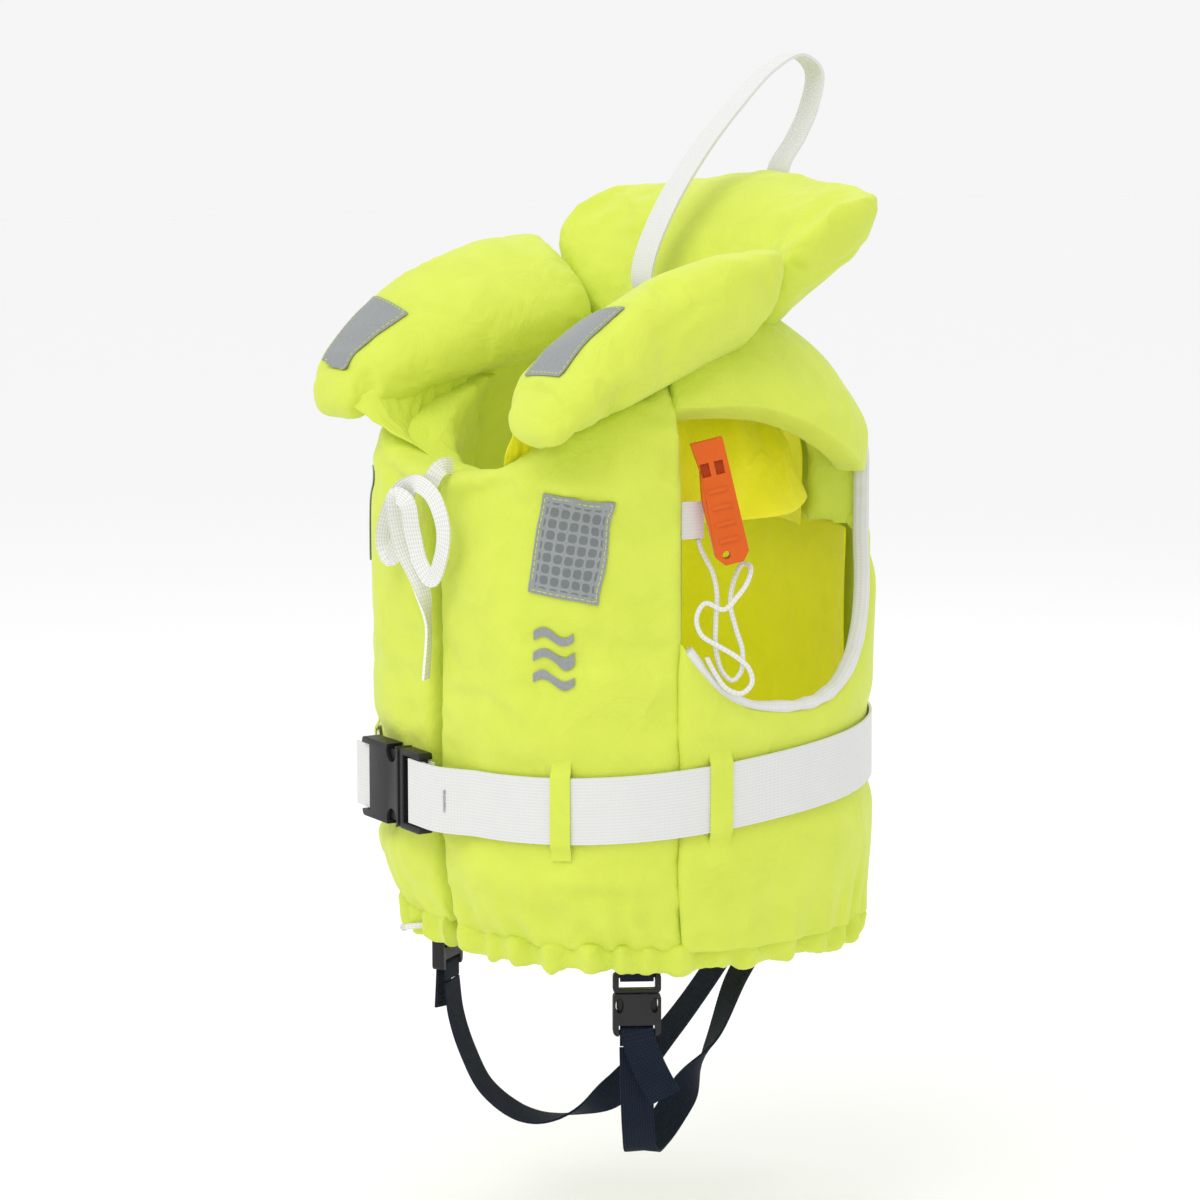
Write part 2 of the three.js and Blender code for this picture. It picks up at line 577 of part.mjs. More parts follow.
function buckleTongue(b) {
  const across = b.web / 2 + 1;
  const inner = b.wall + 0.4;
  const barLow = -b.depth * BAR_MIDDLE - BAR_THICK / 2;
  const barHigh = barLow + BAR_THICK;
  const windowEnd = b.tongue - b.bar;
  let body = plate(roundedOutline(TONGUE_START, b.tongue, -b.half, b.half, 2.5), -b.depth + 0.8, -0.8);
  body = body.subtract(box([b.frame * 0.8, windowEnd], [-b.depth - 1, 1], [-across, across]));
  body = body.subtract(box([windowEnd - 1, b.tongue + 1], [-b.depth - 1, barLow], [-across, across]));
  body = body.subtract(box([windowEnd - 1, b.tongue + 1], [barHigh, 1], [-across, across]));
  const guideHalf = b.half * 0.17;
  const guide = box([-b.arm * 0.8, TONGUE_START + 1], [-b.depth + inner, -inner], [-guideHalf, guideHalf]);
  return body.add(guide);
}

// One sprung arm, on the +z side; its head reaches the socket's window.
function buckleArm(b, side) {
  const reach = b.half - b.wall - 0.5;
  const inner = b.wall + 0.4;
  const size = b.half / BELT_BUCKLE.half;
  const outline = new THREE.Shape([
    [TONGUE_START - GAP, reach - 8 * size], [TONGUE_START - GAP, reach - 4 * size],
    [-b.arm * 0.12, reach - 3.4 * size], [-b.arm * 0.2, reach], [-b.arm * 0.62, reach],
    [-b.arm * 0.94, reach - 3.6 * size], [-b.arm, reach - 6 * size], [-b.arm * 0.92, reach - 7.4 * size],
  ].map(([x, z]) => new THREE.Vector2(x, side * z)));
  return plate(outline, -b.depth + inner, -inner);
}

// Webbing folded round a bar at barX; both layers run away from it along the sign's direction.
function foldedWebbing(b, barX, sign, innerReach, outerReach) {
  const middle = -b.depth * BAR_MIDDLE;
  const near = BAR_THICK / 2 + GAP;
  const far = near + WEBBING;
  const start = barX - sign * (b.bar / 2 + GAP);
  const outline = new THREE.Shape();
  const turn = (radius, from, to) => {
    for (let i = 0; i <= 6; i++) {
      const angle = THREE.MathUtils.lerp(from, to, i / 6);
      const x = start - sign * radius * Math.cos(angle) * 0.6;
      outline.lineTo(x, middle + radius * Math.sin(angle));
    }
  };
  outline.moveTo(barX + sign * outerReach, middle - far);
  turn(far, -Math.PI / 2, Math.PI / 2);
  outline.lineTo(barX + sign * innerReach, middle + far);
  outline.lineTo(barX + sign * innerReach, middle + near);
  turn(near, Math.PI / 2, -Math.PI / 2);
  outline.lineTo(barX + sign * outerReach, middle - near);
  const extrude = { depth: b.web, bevelEnabled: false, curveSegments: 4 };
  return new THREE.ExtrudeGeometry(outline, extrude).translate(0, 0, -b.web / 2);
}

function addBuckle(b, names, parent) {
  add(names.socket, buckleSocket(b), BLACK_PLASTIC, parent);
  add(names.tongue, buckleTongue(b), BLACK_PLASTIC, parent);
  add(names.armHigh, buckleArm(b, 1), BLACK_PLASTIC, parent);
  add(names.armLow, buckleArm(b, -1), BLACK_PLASTIC, parent);
}

function buildBeltBuckle() {
  const place = new THREE.Group();
  place.position.copy(BUCKLE_MOUTH);
  place.rotation.z = -Math.atan(BUCKLE_TILT);
  root.add(place);
  addBuckle(BELT_BUCKLE, {
    socket: 'buckle_socket', tongue: 'buckle_tongue',
    armHigh: 'buckle_arm_upper', armLow: 'buckle_arm_lower',
  }, place);
  const b = BELT_BUCKLE;
  const endLoop = foldedWebbing(b, b.tongue - b.bar / 2, 1, 30, 34);
  add('belt_end_loop', endLoop, WHITE_WEB, place);
  const tail = foldedWebbing(b, -b.socket + b.bar / 2, -1, 12, 14);
  add('belt_tail', tail, WHITE_WEB, place);
}

// ---------- crotch straps ----------
// Route of a strap's middle line: x, y, z for the left strap; the right one hangs a little differently.
const STRAP_ROUTES = {
  left: [[102.8, -62.8, -48.3], [102, -61.5, -75], [99, -58, -103], [92, -51, -117], [84, -36, -114],
    [72, -8, -97], [58, 28, -68], [45, 56, -36], [28, 90, -12], [14, 108, 0], [12, 112, 10]],
  right: [[-102.8, -62.8, -48.7], [-102, -60, -72], [-99, -53, -97], [-93, -42, -122], [-84, -20, -141],
    [-74, 0, -144], [-58, 30, -131], [-40, 66, -88], [-24, 96, -40], [-15, 110, -10], [-14, 112, 10]],
};

function strapGeometry(route, across) {
  const curve = new THREE.CatmullRomCurve3(route.map((p) => new THREE.Vector3(...p)));
  const steps = 30;
  const grid = (offset) => Array.from({ length: steps + 1 }, (_, i) => {
    const place = curve.getPointAt(i / steps);
    const tangent = curve.getTangentAt(i / steps);
    const width = across(i / steps);
    width.addScaledVector(tangent, -width.dot(tangent)).normalize();
    const normal = new THREE.Vector3().crossVectors(tangent, width);
    return [-0.5, 0.5].map((share) => place.clone()
      .addScaledVector(width, share * STRAP_WIDTH).addScaledVector(normal, offset));
  });
  return slab(grid(WEBBING / 2), grid(-WEBBING / 2));
}

function buildCrotchStraps() {
  for (const [name, side] of SIDES) {
    const seat = torso(side * CROTCH_ANGLE, 0, CROTCH_OFFSET);
    const inward = new THREE.Vector3(-seat.x, -seat.y, 0).normalize();
    const up = new THREE.Vector3(0, 0, 1);
    const across = new THREE.Vector3().crossVectors(up, inward);
    const place = new THREE.Group();
    place.matrixAutoUpdate = false;
    place.matrix.makeBasis(up, inward, across).setPosition(seat.x, seat.y, CROTCH_MOUTH);
    root.add(place);
    addBuckle(CROTCH_BUCKLE, {
      socket: `crotch_socket_${name}`, tongue: `crotch_tongue_${name}`,
      armHigh: `crotch_arm_front_${name}`, armLow: `crotch_arm_back_${name}`,
    }, place);
    const b = CROTCH_BUCKLE;
    const tab = foldedWebbing(b, b.tongue - b.bar / 2, 1, 13, 13);
    add(`crotch_tab_${name}`, tab, NAVY_WEB, place);
    const fold = foldedWebbing(b, -b.socket + b.bar / 2, -1, 9, name === 'left' ? 40 : 28);
    add(`crotch_fold_${name}`, fold, NAVY_WEB, place);
    const backWidth = new THREE.Vector3(side, -0.05, 0);
    const strap = strapGeometry(STRAP_ROUTES[name], (t) => across.clone().multiplyScalar(side)
      .lerp(backWidth, THREE.MathUtils.smoothstep(t, 0.2, 0.8)).normalize());
    add(`crotch_strap_${name}`, strap, NAVY_WEB);
  }
}

// ---------- patches, emblem ----------
const PATCH_ANGLES = [31, 36, 42, 48, 51]; // degrees: columns of a chest patch
const PATCH_LEVELS = [229, 258, 286];      // its rows
const PATCH_SKEW = 0.07;                   // degrees it leans outwards per millimetre of height
function buildPatches() {
  for (const [name, side] of SIDES) {
    const grid = (offset) => PATCH_ANGLES.map((a) => PATCH_LEVELS.map((z) => (
      torso(side * (a + PATCH_SKEW * (z - PATCH_LEVELS[1])), z, offset))));
    add(`chest_patch_${name}`, slab(grid(PATCH_LIFT + PATCH_THICK), grid(PATCH_LIFT)), REFLECTIVE);
  }
  add('chest_emblem', wall({
    from: 31, to: 42, rows: [level(173), level(194), level(215)], outer: () => 1.4, inner: () => 0.6,
  }), EMBLEM);
}

// ---------- neck lace ----------
const LACE_ROUTE = [
  [10, -135, 300.7], [11, -143, 300.9], [11, -148, 297], [9, -150, 291], [-2, -151, 290],
  [-14, -151, 284], [-24, -151, 268], [-29, -150, 250], [-24, -150, 241], [-16, -151, 252],
  [-9, -153, 272], [0, -156, 288], [10, -158, 291], [20, -157, 284], [25, -155, 266], [20, -153, 246],
  [12, -152, 234], [5, -153, 242], [4, -158, 262], [5, -163, 280], [-3, -164, 283], [-7, -160, 268],
  [-6, -155, 248], [1, -150, 228], [4, -146.5, 205],
  [2, -145, 185],
];
function buildLace() {
  add('lace', cordGeometry(LACE_ROUTE, LACE, 60), WHITE_WEB);
}

// ---------- whistle ----------
function whistleFrame() {
  const facing = THREE.MathUtils.degToRad(WHISTLE_FACING);
  const inward = new THREE.Vector3(-Math.sin(facing), Math.cos(facing), 0);
  const wide = new THREE.Vector3(Math.cos(facing), Math.sin(facing), 0);
  const up = new THREE.Vector3(0, 0, 1).addScaledVector(wide, -WHISTLE_LEAN).normalize();
  const across = new THREE.Vector3().crossVectors(up, inward).normalize();
  return { up, inward, across, wide };
}

// In the whistle's own frame x runs up it, z across it and y inwards.
function buildWhistle() {
  const { up, inward, across } = whistleFrame();
  const place = new THREE.Group();
  place.matrixAutoUpdate = false;
  place.matrix.makeBasis(up, inward, across).setPosition(WHISTLE_MIDDLE);
  root.add(place);
  const length = WHISTLE_LENGTH / 2;
  const width = WHISTLE_WIDTH / 2;
  const depth = WHISTLE_DEPTH / 2;
  const outline = new THREE.Shape([
    [length, -width], [length, width * 0.9], [length * 0.55, width * 0.72], [length * 0.1, width],
    [-length * 0.85, width], [-length, width * 0.55], [-length, -width * 0.55],
    [-length * 0.85, -width], [length * 0.1, -width],
  ].map(([x, z]) => new THREE.Vector2(x, z)));
  let body = plate(outline, -depth, depth);
  for (const z of [-width * 0.42, width * 0.42]) {
    body = body.subtract(box([length * 0.44, length * 0.66], [-depth - 1, 1], [z - 2.6, z + 2.6]));
    body = body.subtract(box([length * 0.6, length + 1], [-1, 1], [z - 2.6, z + 2.6]));
  }
  for (let i = 0; i < 4; i++) {
    const x = length * (0.2 - 0.27 * i);
    body = body.add(box([x - 1.2, x + 1.2], [-depth - 0.9, -depth + 1], [-width * 0.6, width * 0.6]));
  }
  const hole = new THREE.CylinderGeometry(2.4, 2.4, WHISTLE_DEPTH + 4, 12);
  body = body.subtract(solidFrom(hole.translate(-length * 0.84, 0, width * 0.35)));
  add('whistle', body, ORANGE_PLASTIC, place);
}

function buildWhistleHolder() {
  const seat = torso(FRONT_EDGE, HOLDER_MIDDLE, -3);
  const along = new THREE.Vector3(0.1, 0.99, 0);
  const outward = new THREE.Vector3(0.99, -0.1, 0);
  const grid = (offset) => [4.2, 10, 17].map((distance) => [-0.5, 0.5].map((share) => seat.clone()
    .addScaledVector(along, distance).addScaledVector(outward, offset)
    .setZ(HOLDER_MIDDLE + share * HOLDER_HEIGHT)));
  add('whistle_holder', slab(grid(-5.2), grid(-7.2)), WHITE_WEB);
}

// Whistle cord: tied to the holder, hanging in loose loops, and back up to the whistle's lower end.
// Each point is the distance across, the height and the distance outwards of the whistle's middle.
const LANYARD_ROUTE = [
  [-12, 262.5, -7.5], [-9, 254, -9], [-3, 242, -8.5], [-1, 230, -3], [-2, 214, 0], [-2, 198, 1],
  [2, 184, 1], [8, 179, 1], [13, 184, 0.5], [14, 196, -0.5], [10, 210, -1.5], [7, 224, -3],
  [10, 238, -8.5], [15, 247, -9], [19, 246, -5], [17, 238, 0], [10, 229, 4.2], [2, 222, 6],
  [-9, 226, 6], [-14, 217, 5.5], [-11, 207, 6], [-2, 201, 6.5], [8, 195, 6.5], [17, 187, 6],
  [19, 178, 5.5], [13, 172, 5.5], [4, 175, 6], [-4, 186, 6.3], [-8, 194, 7.5],
];
function buildLanyard() {
  const { inward, wide } = whistleFrame();
  const points = LANYARD_ROUTE.map(([across, height, out]) => {
    const point = WHISTLE_MIDDLE.clone().addScaledVector(wide, across).addScaledVector(inward, -out);
    return [point.x, point.y, height];
  });
  add('whistle_lanyard', cordGeometry(points, LANYARD, 60), WHITE_WEB);
}

buildFrontPanels();
buildSides();
buildBack();
buildCollar();
buildLiftingLoop();
buildHem();
buildBelt();
buildBeltBuckle();
buildCrotchStraps();
buildPatches();
buildLace();
buildWhistle();
buildWhistleHolder();
buildLanyard();

export default root;
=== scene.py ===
# %% [markdown]
# A foam-filled life jacket for a child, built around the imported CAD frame.
# Each soft piece starts as a copy of its CAD solid or as a flat grid wrapped on
# the torso, so that it keeps its true size. Then it gets folds, seams and a finish.

import json
import math

import bmesh
import bpy
import numpy as np
from mathutils import Matrix, Vector, noise
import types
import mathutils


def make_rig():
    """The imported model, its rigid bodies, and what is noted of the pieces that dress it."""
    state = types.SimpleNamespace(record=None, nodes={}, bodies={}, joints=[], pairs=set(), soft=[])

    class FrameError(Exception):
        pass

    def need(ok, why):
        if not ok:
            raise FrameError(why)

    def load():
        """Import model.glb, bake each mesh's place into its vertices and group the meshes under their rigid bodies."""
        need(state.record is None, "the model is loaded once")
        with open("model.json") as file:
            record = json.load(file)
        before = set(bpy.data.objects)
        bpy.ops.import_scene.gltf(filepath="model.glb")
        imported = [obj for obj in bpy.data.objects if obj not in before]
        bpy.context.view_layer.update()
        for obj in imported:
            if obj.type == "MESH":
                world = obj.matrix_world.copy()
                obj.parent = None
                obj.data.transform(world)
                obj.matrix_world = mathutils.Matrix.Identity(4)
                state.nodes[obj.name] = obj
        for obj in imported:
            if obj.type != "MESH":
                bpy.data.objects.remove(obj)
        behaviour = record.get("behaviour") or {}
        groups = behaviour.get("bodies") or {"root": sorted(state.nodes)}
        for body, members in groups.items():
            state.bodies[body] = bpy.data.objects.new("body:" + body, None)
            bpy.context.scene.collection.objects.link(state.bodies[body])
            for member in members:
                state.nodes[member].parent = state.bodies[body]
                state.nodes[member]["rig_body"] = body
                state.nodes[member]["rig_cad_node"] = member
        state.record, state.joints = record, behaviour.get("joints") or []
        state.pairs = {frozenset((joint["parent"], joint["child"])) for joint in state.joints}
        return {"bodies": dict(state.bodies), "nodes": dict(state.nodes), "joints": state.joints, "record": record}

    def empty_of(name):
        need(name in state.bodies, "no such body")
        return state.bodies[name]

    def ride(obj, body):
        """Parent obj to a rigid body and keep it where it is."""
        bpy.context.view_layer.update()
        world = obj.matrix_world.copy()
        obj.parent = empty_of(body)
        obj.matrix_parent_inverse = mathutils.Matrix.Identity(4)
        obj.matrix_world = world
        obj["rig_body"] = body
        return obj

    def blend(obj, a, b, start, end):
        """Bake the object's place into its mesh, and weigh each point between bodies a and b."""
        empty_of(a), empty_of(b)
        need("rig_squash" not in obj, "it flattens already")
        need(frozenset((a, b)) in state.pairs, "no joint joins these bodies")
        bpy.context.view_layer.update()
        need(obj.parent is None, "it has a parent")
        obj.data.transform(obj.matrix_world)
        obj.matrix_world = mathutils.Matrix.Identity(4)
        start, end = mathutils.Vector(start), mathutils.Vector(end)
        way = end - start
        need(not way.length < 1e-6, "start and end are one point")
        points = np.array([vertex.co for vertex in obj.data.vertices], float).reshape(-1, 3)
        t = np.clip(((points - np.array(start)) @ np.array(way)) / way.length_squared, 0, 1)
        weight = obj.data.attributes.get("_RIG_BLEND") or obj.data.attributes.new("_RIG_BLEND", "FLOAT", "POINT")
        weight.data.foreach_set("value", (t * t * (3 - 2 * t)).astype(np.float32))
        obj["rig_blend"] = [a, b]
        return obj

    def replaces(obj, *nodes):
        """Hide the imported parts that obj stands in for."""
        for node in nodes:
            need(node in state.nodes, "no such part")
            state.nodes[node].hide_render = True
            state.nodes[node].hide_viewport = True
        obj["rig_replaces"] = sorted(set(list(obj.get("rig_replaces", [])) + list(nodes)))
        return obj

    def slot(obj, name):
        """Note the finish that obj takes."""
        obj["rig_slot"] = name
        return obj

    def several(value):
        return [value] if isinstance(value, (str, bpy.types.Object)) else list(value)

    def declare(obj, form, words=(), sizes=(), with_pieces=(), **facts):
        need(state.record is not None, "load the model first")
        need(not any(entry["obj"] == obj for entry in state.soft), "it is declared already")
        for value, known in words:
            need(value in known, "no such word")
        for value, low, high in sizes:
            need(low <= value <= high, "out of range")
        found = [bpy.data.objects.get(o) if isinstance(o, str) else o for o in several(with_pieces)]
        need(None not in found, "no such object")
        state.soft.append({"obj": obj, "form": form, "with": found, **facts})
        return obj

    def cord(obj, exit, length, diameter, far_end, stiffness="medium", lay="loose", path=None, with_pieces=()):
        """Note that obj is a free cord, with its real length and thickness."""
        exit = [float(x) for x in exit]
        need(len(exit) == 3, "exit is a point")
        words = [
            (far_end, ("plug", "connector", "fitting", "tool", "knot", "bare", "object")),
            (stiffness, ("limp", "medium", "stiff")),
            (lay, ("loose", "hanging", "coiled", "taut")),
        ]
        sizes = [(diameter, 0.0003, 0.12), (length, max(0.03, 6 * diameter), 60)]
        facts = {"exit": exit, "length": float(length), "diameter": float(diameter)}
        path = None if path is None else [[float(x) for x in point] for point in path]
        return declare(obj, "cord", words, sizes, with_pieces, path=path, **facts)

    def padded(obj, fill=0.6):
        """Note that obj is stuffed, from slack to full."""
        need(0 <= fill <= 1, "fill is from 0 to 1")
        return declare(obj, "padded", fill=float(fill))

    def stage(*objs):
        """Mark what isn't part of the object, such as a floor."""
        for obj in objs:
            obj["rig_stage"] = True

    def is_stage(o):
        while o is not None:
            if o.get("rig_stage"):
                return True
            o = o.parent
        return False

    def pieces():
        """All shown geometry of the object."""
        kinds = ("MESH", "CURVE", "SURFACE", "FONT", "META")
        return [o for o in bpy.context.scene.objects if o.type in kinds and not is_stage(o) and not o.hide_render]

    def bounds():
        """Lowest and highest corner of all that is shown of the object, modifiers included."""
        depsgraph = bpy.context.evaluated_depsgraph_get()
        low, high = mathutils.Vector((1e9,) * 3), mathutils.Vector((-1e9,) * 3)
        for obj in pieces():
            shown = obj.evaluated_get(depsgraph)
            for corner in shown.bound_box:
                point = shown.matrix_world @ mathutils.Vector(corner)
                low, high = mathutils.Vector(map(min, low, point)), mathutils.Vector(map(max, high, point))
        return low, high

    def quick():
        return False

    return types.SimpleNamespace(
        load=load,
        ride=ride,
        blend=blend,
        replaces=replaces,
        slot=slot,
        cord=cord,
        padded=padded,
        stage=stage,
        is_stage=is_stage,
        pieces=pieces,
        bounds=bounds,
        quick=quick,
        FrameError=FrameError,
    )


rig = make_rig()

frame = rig.load()
nodes = frame["nodes"]
cad_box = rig.bounds()
scene = bpy.context.scene
MM = 0.001
SIDES = {"left": 1, "right": -1}
print("CAD nodes:", len(nodes))

# %% [markdown]
# A camera sees an object as a person at that distance would: a long lens from
# a little over two metres keeps the upright lines of the jacket nearly parallel.

# %% Camera
AZIMUTH, ELEVATION, DISTANCE = math.radians(55), math.radians(8.177), 2.3
AIM_HEIGHT, AIM_LEFT, LENS = 0.2069, 0.01415, 110.19
right_hand = Vector((math.cos(AZIMUTH), math.sin(AZIMUTH), 0))
aim = Vector((0, 0, AIM_HEIGHT)) - AIM_LEFT * right_hand
toward = Vector((math.sin(AZIMUTH) * math.cos(ELEVATION), -math.cos(AZIMUTH) * math.cos(ELEVATION),
                 math.sin(ELEVATION)))
bpy.ops.object.camera_add(location=aim + DISTANCE * toward)
camera = bpy.context.object
camera.rotation_euler = (aim - camera.location).to_track_quat("-Z", "Y").to_euler()
camera.data.sensor_width = 36
camera.data.lens = LENS
scene.camera = camera
print("camera at", [round(c, 3) for c in camera.location])

# %% [markdown]
# The torso is a rounded box in plan that leans in over the shoulders and is
# drawn in at the hem. Every fabric piece asks this one rule where the surface is:
# degrees around from the front, height, and distance out of the surface, in mm.

# %% The torso's surface
HALF_WIDTH, HALF_DEPTH, SQUARE = 151, 140.5, 2 / 2.4
HEM_DRAW_IN, HEM_BLEND, HEM_SHIFT = 9, 70, 5
LEAN_START, LEAN = 295, 0.0078
BELT_MIDDLE, BELT_RISE = 112.7, 0.088
UP = Vector((0, 0, 1))


def ease(value, low, high):
    share = min(max((value - low) / (high - low), 0), 1)
    return share * share * (3 - 2 * share)


def signed_power(value, power):
    return math.copysign(abs(value) ** power, value)


def torso(degrees, height, out=0):
    turn = math.radians(degrees)
    drawn = 1 - ease(height, 0, HEM_BLEND)
    shrink = HEM_DRAW_IN * drawn + LEAN * max(0, height - LEAN_START) ** 2
    x = (HALF_WIDTH - shrink + out) * signed_power(math.sin(turn), SQUARE)
    y = -(HALF_DEPTH - shrink + out) * signed_power(math.cos(turn), SQUARE) + HEM_SHIFT * drawn
    return Vector((x, y, height)) * MM


def around(point):
    x = signed_power(point[0] / HALF_WIDTH, 1 / SQUARE)
    y = signed_power(-point[1] / HALF_DEPTH, 1 / SQUARE)
    return math.degrees(math.atan2(x, y)) % 360


def outward(degrees, height):
    along = torso(degrees + 0.5, height) - torso(degrees - 0.5, height)
    return along.cross(UP).normalized()


def belt_height(degrees):
    return BELT_MIDDLE + BELT_RISE * torso(degrees, BELT_MIDDLE).y / MM


print("front of the torso at chest height:", [round(c, 4) for c in torso(0, 200)])

# %% Small tools
def only(piece):
    bpy.ops.object.select_all(action="DESELECT")
    bpy.context.view_layer.objects.active = piece
    piece.select_set(True)


def apply(piece, kind, **values):
    modifier = piece.modifiers.new(kind.title(), kind)
    for key, value in values.items():
        setattr(modifier, key, value)
    only(piece)
    bpy.ops.object.modifier_apply(modifier=modifier.name)


def face_outwards(piece):
    only(piece)
    bpy.ops.object.mode_set(mode="EDIT")
    bpy.ops.mesh.select_all(action="SELECT")
    bpy.ops.mesh.normals_make_consistent(inside=False)
    bpy.ops.object.mode_set(mode="OBJECT")
    return piece


def read(mesh):
    flat = np.empty(len(mesh.vertices) * 3)
    mesh.vertices.foreach_get("co", flat)
    return flat.reshape(-1, 3)


def write(piece, points):
    piece.data.vertices.foreach_set("co", np.asarray(points, float).ravel())
    piece.data.update()


def finish(piece, material, body, covers=(), slot=None, angle=None):
    piece.data.materials.clear()
    piece.data.materials.append(material)
    only(piece)
    if angle is None:
        bpy.ops.object.shade_smooth()
    else:
        bpy.ops.object.shade_smooth_by_angle(angle=math.radians(angle))
    if body:
        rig.ride(piece, body)
    if covers:
        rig.replaces(piece, *covers)
    if slot:
        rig.slot(piece, slot)
    return piece


# %% [markdown]
# Cloth is never one flat colour: it has a fine weave, small wrinkles where the
# coating creases, and faint soiling. These are shader groups with named inputs,
# built once and placed in every material that needs them.

# %% A helper that wires shader nodes
def wire(tree, kind, inputs=None, **settings):
    node = tree.nodes.new(kind)
    for key, value in settings.items():
        setattr(node, key, value)
    for key, value in (inputs or {}).items():
        if isinstance(value, bpy.types.NodeSocket):
            tree.links.new(value, node.inputs[key])
        else:
            node.inputs[key].default_value = value
    return node


def math_node(tree, operation, a, b=None, c=None):
    inputs = {0: a}
    if b is not None:
        inputs[1] = b
    if c is not None:
        inputs[2] = c
    return wire(tree, "ShaderNodeMath", inputs, operation=operation).outputs[0]


def new_group(name, inputs, outputs):
    tree = bpy.data.node_groups.new(name, "ShaderNodeTree")
    for label, kind, value in inputs:
        socket = tree.interface.new_socket(label, in_out="INPUT", socket_type=kind)
        if value is not None:
            socket.default_value = value
    for label, kind in outputs:
        tree.interface.new_socket(label, in_out="OUTPUT", socket_type=kind)
    return tree, tree.nodes.new("NodeGroupInput"), tree.nodes.new("NodeGroupOutput")


# %% [markdown]
# The woven group makes threads that cross: one set of rows runs along the strap
# and a stronger set runs across it.

# %% Shader group: weave
VECTOR, NUMBER = "NodeSocketVector", "NodeSocketFloat"


def build_weave():
    tree, given, out = new_group(
        "weave", [("Place", VECTOR, None), ("Along", NUMBER, 0.002), ("Across", NUMBER, 0.002)],
        [("Height", NUMBER)])
    axes = wire(tree, "ShaderNodeSeparateXYZ", {0: given.outputs["Place"]})
    waves = []
    for axis, spacing in ((0, "Along"), (1, "Across")):
        turns = math_node(tree, "DIVIDE", axes.outputs[axis], given.outputs[spacing])
        wave = math_node(tree, "SINE", math_node(tree, "MULTIPLY", turns, 2 * math.pi))
        waves.append(math_node(tree, "MULTIPLY_ADD", wave, 0.5, 0.5))
    height = math_node(tree, "MULTIPLY_ADD", waves[1], 0.65, math_node(tree, "MULTIPLY", waves[0], 0.35))
    tree.links.new(height, out.inputs["Height"])
    return tree


weave = build_weave()
print("weave group:", len(weave.nodes), "nodes")

# %% [markdown]
# Coated cloth creases in soft long ridges and sharper short ones. A broad noise
# and a fine one give both, without a repeat that the eye can find. The broad one
# is also the mottle of uneven dye and handling.

# %% Shader group: creases
def build_creases():
    tree, given, out = new_group(
        "creases", [("Place", VECTOR, None), ("Size", NUMBER, 40.0)],
        [("Height", NUMBER), ("Mottle", NUMBER)])
    broad = wire(tree, "ShaderNodeTexNoise", {
        "Vector": given.outputs["Place"], "Scale": given.outputs["Size"], "Detail": 3, "Roughness": 0.5,
        "Distortion": 0.9})
    fine_scale = math_node(tree, "MULTIPLY", given.outputs["Size"], 4.2)
    fine = wire(tree, "ShaderNodeTexNoise", {
        "Vector": given.outputs["Place"], "Scale": fine_scale, "Detail": 4, "Roughness": 0.6})
    ridge = math_node(tree, "ABSOLUTE", math_node(tree, "SUBTRACT", broad.outputs["Fac"], 0.5))
    sharp = math_node(tree, "SUBTRACT", 1.0, math_node(tree, "MULTIPLY", ridge, 5.0))
    broken = math_node(tree, "MULTIPLY", sharp, 0.5)
    height = math_node(tree, "MULTIPLY_ADD", fine.outputs["Fac"], 0.35, broken)
    tree.links.new(height, out.inputs["Height"])
    tree.links.new(broad.outputs["Fac"], out.inputs["Mottle"])
    return tree


creases = build_creases()
print("creases group:", len(creases.nodes), "nodes")

# %% [markdown]
# The shell is a fluorescent coated polyester. It is matt, and a faint painted glow makes it
# a touch brighter than a plain dye, in place of the light it sends back; its weave
# shows only close up. The lining is the same cloth in a deeper yellow with a stronger painted
# glow: painted light that lifts the shade inside and stands in for light through the cloth.

# %% Fabric materials
def new_material(name):
    material = bpy.data.materials.new(name)
    material.use_nodes = True
    tree = material.node_tree
    return material, tree, tree.nodes["Principled BSDF"]


def two_tones(tree, share, dark, light):
    ramp = wire(tree, "ShaderNodeMix", {0: share}, data_type="RGBA")
    ramp.inputs[6].default_value = (*dark, 1)
    ramp.inputs[7].default_value = (*light, 1)
    return ramp.outputs[2]


THREAD, CREASE, CREASE_SCALE = 0.0011, 0.0010, 34.0


def cloth_material(name, dark, light, glow):
    material, tree, shader = new_material(name)
    place = wire(tree, "ShaderNodeTexCoord").outputs["Object"]
    turned = wire(tree, "ShaderNodeMapping", {"Vector": place, "Rotation": (0.35, 0.5, 0.785)}).outputs[0]
    fold = wire(tree, "ShaderNodeGroup", node_tree=creases)
    tree.links.new(place, fold.inputs["Place"])
    fold.inputs["Size"].default_value = CREASE_SCALE
    yarn = wire(tree, "ShaderNodeGroup", node_tree=weave)
    tree.links.new(turned, yarn.inputs["Place"])
    yarn.inputs["Along"].default_value = THREAD
    yarn.inputs["Across"].default_value = THREAD
    tone = math_node(tree, "MULTIPLY_ADD", yarn.outputs["Height"], 0.18, fold.outputs["Mottle"])
    tree.links.new(two_tones(tree, tone, dark, light), shader.inputs["Base Color"])
    rough = math_node(tree, "MULTIPLY_ADD", fold.outputs["Mottle"], 0.12, 0.58)
    tree.links.new(rough, shader.inputs["Roughness"])
    low = wire(tree, "ShaderNodeBump", {
        "Height": fold.outputs["Height"], "Distance": CREASE, "Strength": 0.9})
    high = wire(tree, "ShaderNodeBump", {
        "Height": yarn.outputs["Height"], "Distance": 0.00012, "Strength": 0.6, "Normal": low.outputs[0]})
    tree.links.new(high.outputs[0], shader.inputs["Normal"])
    shader.inputs["Sheen Weight"].default_value = 0.12
    shader.inputs["Sheen Roughness"].default_value = 0.5
    shader.inputs["Specular IOR Level"].default_value = 0.35
    # Painted glow: a constant emission in the cloth's light tone makes it brighter than the lamps alone would, in
    # place of fluorescence.
    shader.inputs["Emission Color"].default_value = (*light, 1)
    shader.inputs["Emission Strength"].default_value = glow
    return material


